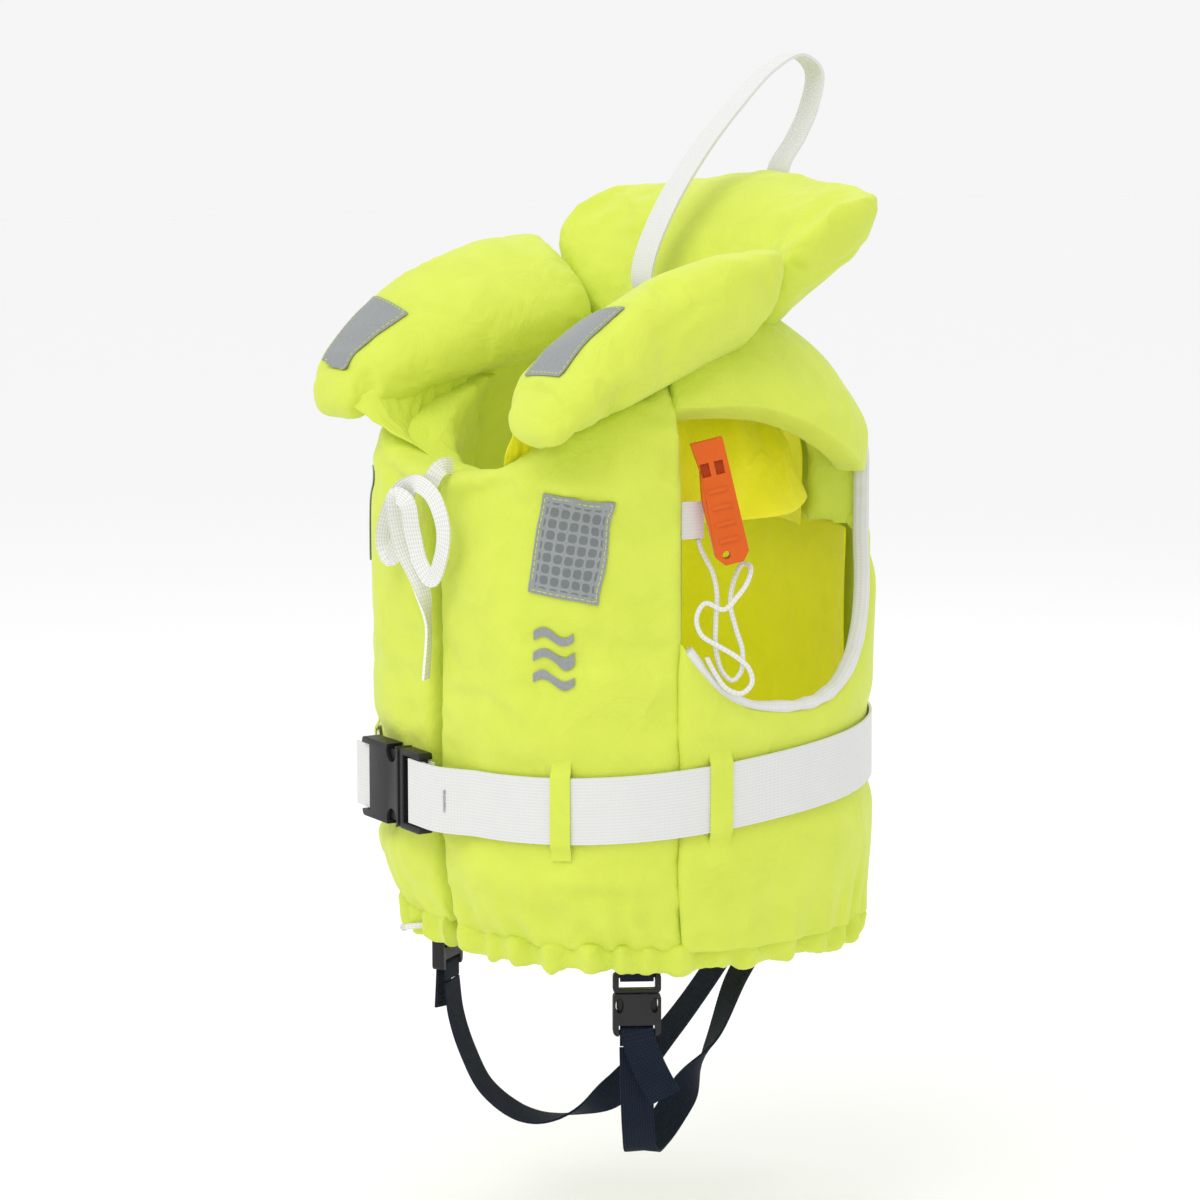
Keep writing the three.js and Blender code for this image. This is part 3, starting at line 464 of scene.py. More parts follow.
shell = cloth_material("fluorescent shell", (0.56, 0.66, 0.055), (0.66, 0.76, 0.085), 0.03)
# The lining's deeper yellow and its strong glow are painted light: they lift the shade inside the jacket and stand in
# for light seen through the cloth.
lining = cloth_material("inner lining", (0.66, 0.62, 0.001), (0.78, 0.74, 0.003), 0.13)
print("fabrics:", shell.name, "and", lining.name)

# %% [markdown]
# Webbing is woven thick, with fine ribs along the strap. Its threads follow the
# strap round every bend, so the pattern reads the piece's own UV map in metres.

# %% Webbing, cord and print materials
def webbing_material(name, dark, light, along, across, depth, sheen=0.2, gloss=0.3):
    material, tree, shader = new_material(name)
    place = wire(tree, "ShaderNodeUVMap", uv_map="threads").outputs[0]
    yarn = wire(tree, "ShaderNodeGroup", node_tree=weave)
    tree.links.new(place, yarn.inputs["Place"])
    yarn.inputs["Along"].default_value = along
    yarn.inputs["Across"].default_value = across
    grime = wire(tree, "ShaderNodeTexNoise", {
        "Vector": wire(tree, "ShaderNodeTexCoord").outputs["Object"], "Scale": 60, "Detail": 4})
    tone = math_node(tree, "MULTIPLY_ADD", yarn.outputs["Height"], 0.75,
                     math_node(tree, "MULTIPLY", grime.outputs["Fac"], 0.35))
    tree.links.new(two_tones(tree, tone, dark, light), shader.inputs["Base Color"])
    bump = wire(tree, "ShaderNodeBump", {
        "Height": yarn.outputs["Height"], "Distance": depth, "Strength": 0.8})
    tree.links.new(bump.outputs[0], shader.inputs["Normal"])
    shader.inputs["Roughness"].default_value = 0.72
    shader.inputs["Sheen Weight"].default_value = sheen
    shader.inputs["Specular IOR Level"].default_value = gloss
    return material


white_webbing = webbing_material(
    "white webbing", (0.66, 0.66, 0.645), (0.76, 0.76, 0.745), 0.0017, 0.0019, 0.0002)
navy_webbing = webbing_material(
    "navy webbing", (0.002, 0.003, 0.006), (0.013, 0.021, 0.042), 0.0011, 0.0015, 0.0004,
    sheen=0.02, gloss=0.12)
white_cord = webbing_material(
    "white cord", (0.60, 0.60, 0.57), (0.90, 0.90, 0.87), 0.0026, 0.0016, 0.0003)
print("webbings:", white_webbing.name, navy_webbing.name, white_cord.name)


def plastic_material(name, colour):
    material, tree, shader = new_material(name)
    place = wire(tree, "ShaderNodeTexCoord").outputs["Object"]
    grain = wire(tree, "ShaderNodeTexNoise", {"Vector": place, "Scale": 900, "Detail": 2})
    scuff = wire(tree, "ShaderNodeTexNoise", {"Vector": place, "Scale": 70, "Detail": 5, "Roughness": 0.7})
    worn = tuple(min(1, c * 1.25 + 0.004) for c in colour)
    tree.links.new(two_tones(tree, scuff.outputs["Fac"], colour, worn), shader.inputs["Base Color"])
    rough = math_node(tree, "MULTIPLY_ADD", scuff.outputs["Fac"], 0.22, 0.34)
    tree.links.new(rough, shader.inputs["Roughness"])
    bump = wire(tree, "ShaderNodeBump", {
        "Height": grain.outputs["Fac"], "Distance": 0.00008, "Strength": 0.5})
    tree.links.new(bump.outputs[0], shader.inputs["Normal"])
    shader.inputs["Specular IOR Level"].default_value = 0.3
    return material


black_plastic = plastic_material("black plastic", (0.012, 0.012, 0.013))
orange_plastic = plastic_material("orange plastic", (0.60, 0.095, 0.002))

# %% [markdown]
# Cords and straps follow the same stations as their CAD solids, joined by a
# smooth curve through the points, because their length is a real size.

# %% A smooth curve through stations
def smooth_route(stations, step=0.004):
    points = [Vector(p) * MM for p in stations]
    line = []
    for i in range(len(points) - 1):
        a, b, c, d = (points[min(max(i + k, 0), len(points) - 1)] for k in (-1, 0, 1, 2))
        if i == 0:
            a = b + (b - c)
        if i == len(points) - 2:
            d = c + (c - b)
        gaps = [max((q - p).length, 1e-6) ** 0.5 for p, q in ((a, b), (b, c), (c, d))]
        start = ((b - a) / gaps[0] - (c - a) / (gaps[0] + gaps[1]) + (c - b) / gaps[1]) * gaps[1]
        end = ((c - b) / gaps[1] - (d - b) / (gaps[1] + gaps[2]) + (d - c) / gaps[2]) * gaps[1]
        count = max(2, int((c - b).length / step))
        for k in range(count):
            t = k / count
            line.append(b * (2 * t**3 - 3 * t**2 + 1) + start * (t**3 - 2 * t**2 + t)
                        + c * (3 * t**2 - 2 * t**3) + end * (t**3 - t**2))
    return line + [points[-1]]


def length_of(line):
    return sum((b - a).length for a, b in zip(line, line[1:]))


def spans_of(line):
    """The distance along a line to each of its points."""
    spans = [0.0]
    for a, b in zip(line, line[1:]):
        spans.append(spans[-1] + (b - a).length)
    return spans


# %% [markdown]
# A flat strap or a sheet of fabric begins as a grid primitive. Each grid corner
# is then moved to its place, the UV map is scaled to metres so the weave keeps
# its size, and a Solidify modifier gives the cloth its thickness. place(u, v)
# gets u from 0 to 1 along the grid and v from -0.5 to 0.5 across it.

# %% A grid wrapped on a surface
def grid(name, columns, rows, size, place):
    bpy.ops.object.select_all(action="DESELECT")
    bpy.ops.mesh.primitive_grid_add(x_subdivisions=columns, y_subdivisions=rows, size=1)
    piece = bpy.context.object
    piece.name = piece.data.name = name
    layer = piece.data.uv_layers[0]
    layer.name = "threads"
    for loop in layer.data:
        loop.uv = (loop.uv[0] * size[0], loop.uv[1] * size[1])
    write(piece, [place(x + 0.5, y) for x, y, z in read(piece.data)])
    return piece


def wrap(name, columns, rows, size, thickness, place, soften=0):
    piece = grid(name, columns, rows, size, place)
    apply(piece, "SOLIDIFY", thickness=thickness, offset=0, use_even_offset=False)
    if soften:
        apply(piece, "SUBSURF", levels=soften, render_levels=soften)
    return face_outwards(piece)


def ribbon(name, line, width, thickness, way):
    """A strap along a line of points; way(share, tangent) is the direction of its width."""
    count = len(line) - 1
    spans = spans_of(line)
    sides = []
    for index in range(count + 1):
        tangent = (line[min(index + 1, count)] - line[max(index - 1, 0)]).normalized()
        side = way(spans[index] / spans[-1], tangent)
        sides.append((side - tangent * side.dot(tangent)).normalized())

    def place(share, across):
        index = min(int(share * count), count - 1)
        part = share * count - index
        side = sides[index].lerp(sides[index + 1], part)
        return line[index].lerp(line[index + 1], part) + side * (across * width)

    return wrap(name, count, 4, (spans[-1], width), thickness, place)


# %% [markdown]
# A foam panel is a sewn bag with slabs in it. The copy of the bag and of its
# slabs, swelled to touch, are fused by a voxel remesh into one even skin. Then
# the Cloth solver blows it up a little between its seams, and the swelling is
# held to a few millimetres so that the panel keeps its size.

# %% Fused copies of CAD solids
VOXEL = 0.005  # metres
SLAB_SWELL = 0.0024


def fused(name, cover, fillings):
    pieces = []
    for node in (cover, *fillings):
        piece = bpy.data.objects.new(name, nodes[node].data.copy())
        scene.collection.objects.link(piece)
        only(piece)
        bpy.ops.object.mode_set(mode="EDIT")
        bpy.ops.mesh.select_all(action="SELECT")
        bpy.ops.mesh.remove_doubles(threshold=0.00005)
        bpy.ops.object.mode_set(mode="OBJECT")
        if node != cover:
            apply(piece, "DISPLACE", strength=SLAB_SWELL, mid_level=0)
        pieces.append(piece)
    only(pieces[0])
    for piece in pieces:
        piece.select_set(True)
    bpy.ops.object.join()
    piece = bpy.context.object
    apply(piece, "REMESH", mode="VOXEL", voxel_size=VOXEL, adaptivity=0)
    keep_largest(piece)
    apply(piece, "SMOOTH", factor=0.5, iterations=6)
    piece.name = piece.data.name = name
    return piece


def keep_largest(piece):
    mesh = bmesh.new()
    mesh.from_mesh(piece.data)
    unseen, groups = set(mesh.verts), []
    while unseen:
        stack, group = [unseen.pop()], []
        while stack:
            corner = stack.pop()
            group.append(corner)
            for edge in corner.link_edges:
                other = edge.other_vert(corner)
                if other in unseen:
                    unseen.remove(other)
                    stack.append(other)
        groups.append(group)
    groups.sort(key=len, reverse=True)
    for group in groups[1:]:
        bmesh.ops.delete(mesh, geom=group, context="VERTS")
    mesh.to_mesh(piece.data)
    mesh.free()


# %% [markdown]
# The Cloth solver needs to know where the cloth is sewn down: those points are
# pinned. Slightly too much cloth makes it buckle near the seams, as real panels do.
# cap is the furthest that any point may move, in metres.

# %% Blow up a padded piece
CLOTH_FRAMES = 16


def inflate(piece, pressure, cap, sewn, spare, loose=None):
    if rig.quick():
        return
    rest = read(piece.data)
    pins = piece.vertex_groups.new(name="sewn")
    for index, point in enumerate(rest):
        weight = sewn(point)
        if weight > 0:
            pins.add([index], weight, "REPLACE")
    cloth = piece.modifiers.new("Cloth", "CLOTH")
    settings = cloth.settings
    settings.use_pressure = True
    settings.uniform_pressure_force = pressure
    settings.effector_weights.gravity = 0
    settings.vertex_group_mass = pins.name
    settings.shrink_min = -spare
    settings.tension_stiffness = settings.compression_stiffness = 12
    settings.shear_stiffness = 6
    settings.bending_stiffness = 0.6
    settings.quality = 5
    cloth.collision_settings.use_collision = False
    for number in range(1, CLOTH_FRAMES + 1):
        scene.frame_set(number)
    view = piece.evaluated_get(bpy.context.evaluated_depsgraph_get())
    moved = read(view.data) - rest
    piece.modifiers.remove(cloth)
    scene.frame_set(1)
    far = np.linalg.norm(moved, axis=1)
    held = cap * np.tanh(far / cap)
    moved *= (held / np.maximum(far, 1e-9))[:, None]
    if loose:
        moved *= np.array([loose(point) for point in rest])[:, None]
    write(piece, rest + moved)
    print(piece.name, "swelled by up to", round(float(held.max()) / MM, 1), "mm")


def belt_press(point):
    """0 under the belt, 1 away from it."""
    away = abs(point[2] / MM - belt_height(around(point)))
    return ease(away, 20, 42)


# %% [markdown]
# A drawcord gathers the hem. The extra cloth runs up the panels as soft folds
# that fade by the belt, and every panel asks for them at its own place, so folds
# carry on over a seam.

# %% Hem gathers and drag folds
def gather(degrees, height):
    fade = 1 - ease(height, 6, 78)
    drift = 5 * noise.noise(Vector((degrees * 0.035, 3.1, height * 0.006)))
    turn = math.radians(degrees)
    fold = math.sin(turn * 38 + drift) + 0.6 * math.sin(turn * 23 + 2 * drift)
    slack = noise.noise(Vector((degrees * 0.06, 9.4, height * 0.02)))
    return fade * (2.1 * fold + 2.2 * slack)


def drag(degrees, height):
    broad = noise.noise(Vector((degrees * 0.045, 1.7, height * 0.008)))
    slant = noise.noise(Vector((degrees * 0.09 + height * 0.012, 5.3, height * 0.004)))
    return 2.4 * broad + 1.8 * slant


def gather_piece(piece):
    points = read(piece.data)
    for index, point in enumerate(points):
        degrees, height = around(point), point[2] / MM
        push = gather(degrees, height) + drag(degrees, height)
        points[index] = Vector(point) + outward(degrees, height) * (push * belt_press(point) * MM)
    write(piece, points)


# %% [markdown]
# The two front panels hold two thick foam slabs each. Their edges are sewn, so
# the corners stay put while the middle of each side bulges, except under the belt.

# %% Front panels
NECK_EDGE = 298
PANEL_FROM, PANEL_TO, PANEL_BASE = 1.5, 70, 14


def panel_top(degrees):
    return NECK_EDGE + 58 * ease(degrees, 10, 60)


def front_sewn(point):
    """1 on a seam, falling to 0 a few millimetres away from it."""
    degrees = around(point)
    degrees = min(degrees, 360 - degrees)
    side = min(abs(degrees - PANEL_FROM), abs(degrees - PANEL_TO)) * 5.5
    end = min(point[2] / MM - PANEL_BASE, panel_top(degrees) - point[2] / MM)
    return 1 - ease(min(side, end), 1, 9)


def close_front(piece, side):
    """Full panels press against each other down the front."""
    points = read(piece.data)
    for point in points:
        reach = 1 - ease(abs(point[0]) / MM, 4, 22)
        point[0] -= side * 4.2 * MM * reach
    write(piece, points)


panels = {}
for name, side in SIDES.items():
    piece = fused(f"front_panel_{name}", f"front_cover_{name}",
                  (f"front_foam_{name}_outer", f"front_foam_{name}_inner"))
    inflate(piece, 3.5, 0.009, front_sewn, spare=0.035, loose=belt_press)
    gather_piece(piece)
    close_front(piece, side)
    apply(piece, "SUBSURF", levels=1, render_levels=1)
    finish(piece, shell, "jacket", (f"front_cover_{name}", f"front_foam_{name}_outer",
                                    f"front_foam_{name}_inner"), "shell_fabric")
    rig.padded(piece, fill=0.8)
    panels[name] = piece
    print(piece.name, len(piece.data.polygons), "faces")

# %% [markdown]
# The upper back holds one slab under the neck and is made the same way. The
# shoulders are soft bridges from it to the front panels: thick wrapped grids.

# %% Upper back and shoulders
def between_seams(share, edge=0.07):
    return ease(min(share, 1 - share), 0, edge)


def back_sewn(point):
    away = abs(around(point) - 180)
    return 1 - ease(min((34 - away) * 2.6, point[2] / MM - 255), 1, 10)


piece = fused("back_panel_upper", "back_cover_upper", ("back_foam_upper",))
inflate(piece, 4, 0.009, back_sewn, spare=0.05)
apply(piece, "SUBSURF", levels=1, render_levels=1)
finish(piece, shell, "jacket", ("back_cover_upper", "back_foam_upper"), "lining_fabric")
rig.padded(piece, fill=0.8)


SHOULDER_FROM, SHOULDER_SPAN, SHOULDER_TOP, ARM_TOP = 68.5, 79.5, 379, 334


def shoulder_low(degrees):
    return ARM_TOP - 44 * ease(degrees, 84, 142)


def shoulder_place(side):
    def place(u, v):
        degrees = SHOULDER_FROM + SHOULDER_SPAN * u
        low = shoulder_low(degrees)
        height = low + (SHOULDER_TOP - low) * (v + 0.5)
        rim = min(between_seams(u, 0.16), ease(v + 0.5, 0, 0.3))
        wrinkle = noise.noise(Vector((degrees * 0.05, height * 0.035, 4.0 * side)))
        ridge = abs(noise.noise(Vector((degrees * 0.09 - height * 0.03, height * 0.02, 8.0 * side))))
        return torso(side * degrees, height, -12 + 5 * rim + 2.5 * wrinkle * rim - 4 * ridge * rim)
    return place


for name, side in SIDES.items():
    piece = wrap(f"shoulder_pad_{name}", 44, 26, (0.12, 0.06), 0.020, shoulder_place(side), soften=1)
    finish(piece, shell, "jacket", (f"shoulder_{name}",), "shell_fabric")
    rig.padded(piece, fill=0.7)
print("back and shoulders done")

# %% [markdown]
# The head collar is three cushions: two wings over the chest and a wide one
# behind the head. Each is a smooth, full bag whose cloth puckers at its ends.

# %% Collar cushions
REAR_END, WING_BACK, WING_TIP = 0.133, 0.025, -0.148  # metres


def from_end(point, body):
    """Distance in millimetres to the nearer sewn end of a cushion."""
    if body == "rear":
        return (REAR_END - abs(point[0])) / MM
    return min(WING_BACK - point[1], point[1] - WING_TIP) / MM


def collar_sewn(body):
    return lambda point: 1 - ease(from_end(point, body), 1, 9)


collars = {}
for name in ("left", "right", "rear"):
    piece = fused(f"collar_{name}_cushion", f"collar_cover_{name}", (f"collar_foam_{name}",))
    inflate(piece, 4, 0.006, collar_sewn(name), spare=0.045)
    points = read(piece.data)
    for index, point in enumerate(points):
        lump = noise.noise(Vector(point) * 14 + Vector((7 if name == "right" else 0, 0, 0)))
        pinch = 4.5 * abs(noise.noise(Vector(point) * 36)) * (1 - ease(from_end(point, name), 12, 46))
        points[index] = point + np.array((0, 0, (2.0 * lump - pinch) * MM))
    write(piece, points)
    apply(piece, "SUBSURF", levels=1, render_levels=1)
    finish(piece, shell, f"collar_{name}", (f"collar_cover_{name}", f"collar_foam_{name}"),
           "shell_fabric")
    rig.padded(piece, fill=0.9)
    collars[name] = piece
print("collar cushions:", {k: len(v.data.polygons) for k, v in collars.items()})

# %% [markdown]
# Inside the neck the cushions and panels are joined by unpadded cloth. It hangs
# from the cushions' inner edges into the neck opening and creases as it turns. On
# the left its lining side shows, on the right its shell side.

# %% Neck cloth
NECK_EDGE_STATIONS = [
    (93, -143, 331), (84, -135, 338), (74, -114, 350), (66, -88, 362), (62, -55, 372),
    (60, -18, 380), (61, 8, 384), (66, 22, 384)]


def neck_place(side):
    top_line = smooth_route([(side * x, y, z) for x, y, z in NECK_EDGE_STATIONS], 0.004)
    last = len(top_line) - 1

    def place(u, v):
        top = top_line[int(round(u * last))]
        degrees = 9 + 128 * u
        low = 292 - 24 * ease(degrees, 40, 85) + 6 * ease(degrees, 110, 137)
        bottom = torso(side * degrees, low, -36)
        share = 0.5 - v
        spot = top.lerp(bottom, share)
        crease = noise.noise(Vector((u * 7 + share * 1.5, share * 2.2, 3.0 * side)))
        fine = abs(noise.noise(Vector((u * 16 + share * 4, share * 3, 6.0 * side))))
        belly = math.sin(math.pi * share)
        inward = Vector((-spot.x, -spot.y, 0)).normalized()
        return spot + inward * ((6 * crease + 5 * fine - 5) * belly * MM)
    return place


for name, side in SIDES.items():
    piece = wrap(f"neck_cloth_{name}", 70, 26, (0.26, 0.09), 0.0015, neck_place(side), soften=1)
    if side < 0:
        finish(piece, shell, "jacket", (), "shell_fabric")
    else:
        finish(piece, lining, "jacket", (), "lining_fabric")
print("neck cloth done")

# %% [markdown]
# The sides and the lower back are flat cloth with thin padding. A grid wrapped
# on the torso gives them clean edges at the armhole. The lower back's top edge is
# tucked under the upper back, and a thin lining covers the inside of both.

# %% Side panels and lower back
FRONT_EDGE, BACK_EDGE, SEAM, CLOTH_BASE = 69.0, 146.6, 255, 14.3
ARMHOLE_LOWEST, ARMHOLE_BOTTOM = 98, 156


def side_top(degrees):
    if degrees < ARMHOLE_LOWEST:
        return ARMHOLE_BOTTOM + 44 * ((ARMHOLE_LOWEST - degrees) / 28) ** 2.5
    return ARMHOLE_BOTTOM + 92 * ((degrees - ARMHOLE_LOWEST) / 48) ** 2


def flat_panel(name, low, high, top, depth, bulge, slot, cover, tuck=0):
    def place(u, v):
        degrees = low + (high - low) * u
        peak = top(degrees if degrees <= 180 else 360 - degrees)
        height = CLOTH_BASE + (peak - CLOTH_BASE) * (v + 0.5)
        rim = min(between_seams(u, 0.03), ease(peak - height, 0, 14))
        press = ease(abs(height - belt_height(degrees)), 20, 40)
        out = press * (bulge * rim + gather(degrees, height) + drag(degrees, height) * rim) - depth / 2
        return torso(degrees, height, out - tuck * ease(height, peak - 10, peak - 5))

    piece = wrap(name, 44, 54, (0.2, 0.2), depth * MM, place, soften=1)
    finish(piece, shell, "jacket", (cover,), slot)
    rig.padded(piece, fill=0.5)


for name, side in SIDES.items():
    low, high = (FRONT_EDGE, BACK_EDGE) if side > 0 else (360 - BACK_EDGE, 360 - FRONT_EDGE)
    flat_panel(f"side_cloth_{name}", low, high, side_top, 8, 4.5, "shell_fabric", f"side_panel_{name}")
BACK_FROM, BACK_TO = 145.6, 214.4
flat_panel("lower_back_cloth", BACK_FROM, BACK_TO, lambda degrees: SEAM + 8, 10, 3,
           "lining_fabric", "back_panel_lower", tuck=4)


def lining_place(low, high, depth):
    def place(u, v):
        degrees = BACK_FROM + (BACK_TO - BACK_FROM) * u
        height = low + (high - low) * (v + 0.5)
        crease = 2.2 * noise.noise(Vector((degrees * 0.09, height * 0.012, 8)))
        return torso(degrees, height, crease - depth)
    return place


for name, low, high, depth in (("lower", 15, SEAM - 1, 12.5), ("upper", SEAM, 388, 39.5)):
    piece = wrap(f"{name}_back_lining", 44, 54, (0.2, 0.2), 0.0012,
                 lining_place(low, high, depth), soften=1)
    finish(piece, lining, "jacket", (), "lining_fabric")
print("flat panels done")

# %% [markdown]
# Hem: a sleeve of cloth round the whole lower edge, puckered on its drawcord.
# Its section is a rounded slot, and its lower edge rises and falls unevenly.
# tube_from() is for any closed section: the grid's two long edges are merged
# and its two ends are filled.

# %% Hem sleeve
HEM_MIDDLE, HEM_INSET = 10, 5.8


def hem_place(u, v):
    degrees = 1.5 + 357 * u
    turn = 2 * math.pi * (v + 0.5)
    pucker = gather(degrees, 4)
    scallop = 3.2 * noise.noise(Vector((degrees * 0.14, 0.4, 0)))
    scallop += 1.3 * noise.noise(Vector((degrees * 0.5, 7, 0)))
    below = (1 - math.sin(turn)) / 2
    crush = 1.6 * noise.noise(Vector((degrees * 0.33, 2.2 * math.sin(turn), 3)))
    out = -HEM_INSET + (6.4 + 0.5 * pucker) * signed_power(math.cos(turn), 0.8) + 1.2 * pucker + crush
    height = HEM_MIDDLE + (9.4 + 0.3 * pucker) * signed_power(math.sin(turn), 0.8) + scallop * below
    return torso(degrees, height, out)


def tube_from(name, columns, rows, size, place):
    piece = grid(name, columns, rows, size, place)
    only(piece)
    bpy.ops.object.mode_set(mode="EDIT")
    bpy.ops.mesh.select_all(action="SELECT")
    bpy.ops.mesh.remove_doubles(threshold=0.00001)
    bpy.ops.mesh.select_mode(type="EDGE")
    bpy.ops.mesh.select_all(action="DESELECT")
    bpy.ops.mesh.select_non_manifold()
    bpy.ops.mesh.fill_holes(sides=0)
    bpy.ops.mesh.select_all(action="SELECT")
    bpy.ops.mesh.normals_make_consistent(inside=False)
    bpy.ops.mesh.select_mode(type="VERT")
    bpy.ops.object.mode_set(mode="OBJECT")
    return piece


piece = tube_from("hem_sleeve", 560, 20, (0.9, 0.05), hem_place)
finish(piece, shell, "jacket", ("hem_casing",), "shell_fabric")
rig.padded(piece, fill=0.2)
print("hem sleeve:", len(piece.data.polygons), "faces")

# %% [markdown]
# Waist belt and its loops: one long strap wrapped on the torso, and four cloth
# keepers that go over it. The strap begins under the front left keeper, because
# the stretch from there to the buckle has to follow the buckle when it moves.

# %% Belt and belt loops
BELT_WIDTH, WEBBING, BELT_LIFT = 40, 1.6, 2.3
BELT_FROM, BELT_SPAN = 37.5, 296.5
KEEPER_LENGTH, KEEPER_WIDTH = 60, 14


def belt_place(u, v):
    degrees = BELT_FROM + BELT_SPAN * u
    slack = 0.5 * noise.noise(Vector((degrees * 0.05, v, 2.0)))
    return torso(degrees, belt_height(degrees) + BELT_WIDTH * v, BELT_LIFT + slack)


belt = wrap("waist_belt", 198, 6, (0.77, BELT_WIDTH * MM), WEBBING * MM, belt_place)
finish(belt, white_webbing, "jacket", ("belt_webbing",), "white_webbing", 40)


def keeper_place(centre, half):
    def place(u, v):
        degrees = centre + half * (2 * u - 1)
        rise = 1 - ease(abs(KEEPER_LENGTH * v), 20.5, 25)
        return torso(degrees, belt_height(degrees) + KEEPER_LENGTH * v, 1.5 + 2.5 * rise)
    return place


for spot, centre in {"front_left": 38, "side_left": 79, "front_right": 322, "side_right": 281}.items():
    half = math.degrees(KEEPER_WIDTH / 2 / HALF_WIDTH)
    piece = wrap(f"belt_keeper_{spot}", 8, 40, (KEEPER_WIDTH * MM, KEEPER_LENGTH * MM), 1.0 * MM,
                 keeper_place(centre, half))
    finish(piece, shell, "jacket", (f"belt_loop_{spot}",), "shell_fabric", 50)
print("belt and keepers done")

# %% [markdown]
# Stitches are short lengths of thread. One small box is modelled for each, all
# in one mesh per seam, because a line drawn in a material would not catch light.

# %% Stitched seams
def thread_material(name, colour):
    material, tree, shader = new_material(name)
    place = wire(tree, "ShaderNodeTexCoord").outputs["Object"]
    twist = wire(tree, "ShaderNodeTexNoise", {"Vector": place, "Scale": 900})
    dark = tuple(c * 0.75 for c in colour)
    tree.links.new(two_tones(tree, twist.outputs["Fac"], dark, colour), shader.inputs["Base Color"])
    shader.inputs["Roughness"].default_value = 0.6
    return material


lime_thread = thread_material("lime thread", (0.62, 0.74, 0.10))
tack_thread = thread_material("grey thread", (0.52, 0.52, 0.50))


def stitch(name, line, out, material, body, slot, length=0.0026, gap=0.0012, thick=0.0005):
    """Dashes along a line of points; out(point) is the way off the cloth."""
    spans = spans_of(line)

    def at(distance):
        index = max(i for i, span in enumerate(spans[:-1]) if span <= distance)
        part = (distance - spans[index]) / max(spans[index + 1] - spans[index], 1e-9)
        return line[index].lerp(line[index + 1], min(part, 1))

    mesh = bmesh.new()
    for number in range(int(spans[-1] / (length + gap))):
        start = number * (length + gap) + gap / 2
        a, b = at(start), at(start + length)
        along = (b - a).normalized()
        off = out((a + b) / 2)
        across = along.cross(off).normalized()
        bmesh.ops.create_cube(mesh, size=1, matrix=Matrix.Translation((a + b) / 2) @ Matrix((
            along * length, across * thick, along.cross(across) * thick)).transposed().to_4x4())
    piece = bpy.data.objects.new(name, bpy.data.meshes.new(name))
    mesh.to_mesh(piece.data)
    mesh.free()
    scene.collection.objects.link(piece)
    return finish(piece, material, body, (), slot, 60)


# %% [markdown]
# Patches lie on the swollen cloth, so each is a grid laid near the panel and then
# pressed onto it with a Shrinkwrap modifier, a fraction of a millimetre proud.

# %% Patches laid on a panel
def lay_on(name, columns, rows, size, place, onto, thick=0.0006):
    piece = grid(name, columns, rows, size, place)
    apply(piece, "SHRINKWRAP", target=onto, wrap_method="NEAREST_SURFACEPOINT",
          wrap_mode="ABOVE_SURFACE", offset=0.0010)
    apply(piece, "SMOOTH", factor=0.5, iterations=8)
    apply(piece, "SOLIDIFY", thickness=thick, offset=0)
    return face_outwards(piece)


def reflective_material(name, size, cells):
    material, tree, shader = new_material(name)
    place = wire(tree, "ShaderNodeUVMap", uv_map="threads").outputs[0]
    axes = wire(tree, "ShaderNodeSeparateXYZ", {0: place})
    edges, squares = [], []
    for axis in (0, 1):
        middle = size[axis] / 2
        off = math_node(tree, "ABSOLUTE", math_node(tree, "SUBTRACT", axes.outputs[axis], middle))
        edges.append(math_node(tree, "SUBTRACT", middle, off))
        if cells:
            cell = math_node(tree, "DIVIDE", axes.outputs[axis], size[axis] / cells[axis])
            turns = math_node(tree, "FRACT", cell)
            squares.append(math_node(tree, "ABSOLUTE", math_node(tree, "SUBTRACT", turns, 0.5)))
    edge = math_node(tree, "MINIMUM", edges[0], edges[1])
    beads = wire(tree, "ShaderNodeTexNoise", {
        "Vector": wire(tree, "ShaderNodeTexCoord").outputs["Object"], "Scale": 700, "Detail": 2})
    colour = two_tones(tree, beads.outputs["Fac"], (0.22, 0.24, 0.24), (0.35, 0.37, 0.37))
    if cells:
        power = [math_node(tree, "POWER", value, 3.0) for value in squares]
        inside = math_node(tree, "LESS_THAN", math_node(tree, "ADD", power[0], power[1]), 0.062)
        clear = math_node(tree, "GREATER_THAN", edge, 0.0045)
        mask = math_node(tree, "MULTIPLY", math_node(tree, "MULTIPLY", inside, clear), 0.75)
        mix = wire(tree, "ShaderNodeMix", {0: mask, 6: colour}, data_type="RGBA")
        mix.inputs[7].default_value = (0.13, 0.15, 0.15, 1)
        colour = mix.outputs[2]
    tree.links.new(colour, shader.inputs["Base Color"])
    bump = wire(tree, "ShaderNodeBump", {
        "Height": beads.outputs["Fac"], "Distance": 0.0001, "Strength": 0.4})
    tree.links.new(bump.outputs[0], shader.inputs["Normal"])
    shader.inputs["Roughness"].default_value = 0.42
    shader.inputs["Metallic"].default_value = 0.25
    return material


def border(place, size, inset):
    """The four sides of a patch, drawn in by inset, as one line of shares."""
    u, v = inset / size[0], inset / size[1]
    corners = [(u, v - 0.5), (1 - u, v - 0.5), (1 - u, 0.5 - v), (u, 0.5 - v), (u, v - 0.5)]
    line = []
    for (ua, va), (ub, vb) in zip(corners, corners[1:]):
        line += [place(ua + (ub - ua) * k / 24, va + (vb - va) * k / 24) for k in range(24)]
    return line


def press_on(line, onto, lift):
    """Each point of a line moved onto a piece's surface."""
    pressed = []
    for point in line:
        hit, spot, normal, face = onto.closest_point_on_mesh(point)
        pressed.append(spot + normal * lift)
    return pressed


def away_from(onto):
    return lambda point: onto.closest_point_on_mesh(point)[2]


CHEST_PATCH = (0.046, 0.057)
PATCH_HEIGHT, PATCH_TALL, PATCH_DROP, PATCH_FROM, PATCH_SPAN = 258.5, 60, 7, 31, 20
chest_finish = reflective_material("reflective grid", CHEST_PATCH, (7, 9))


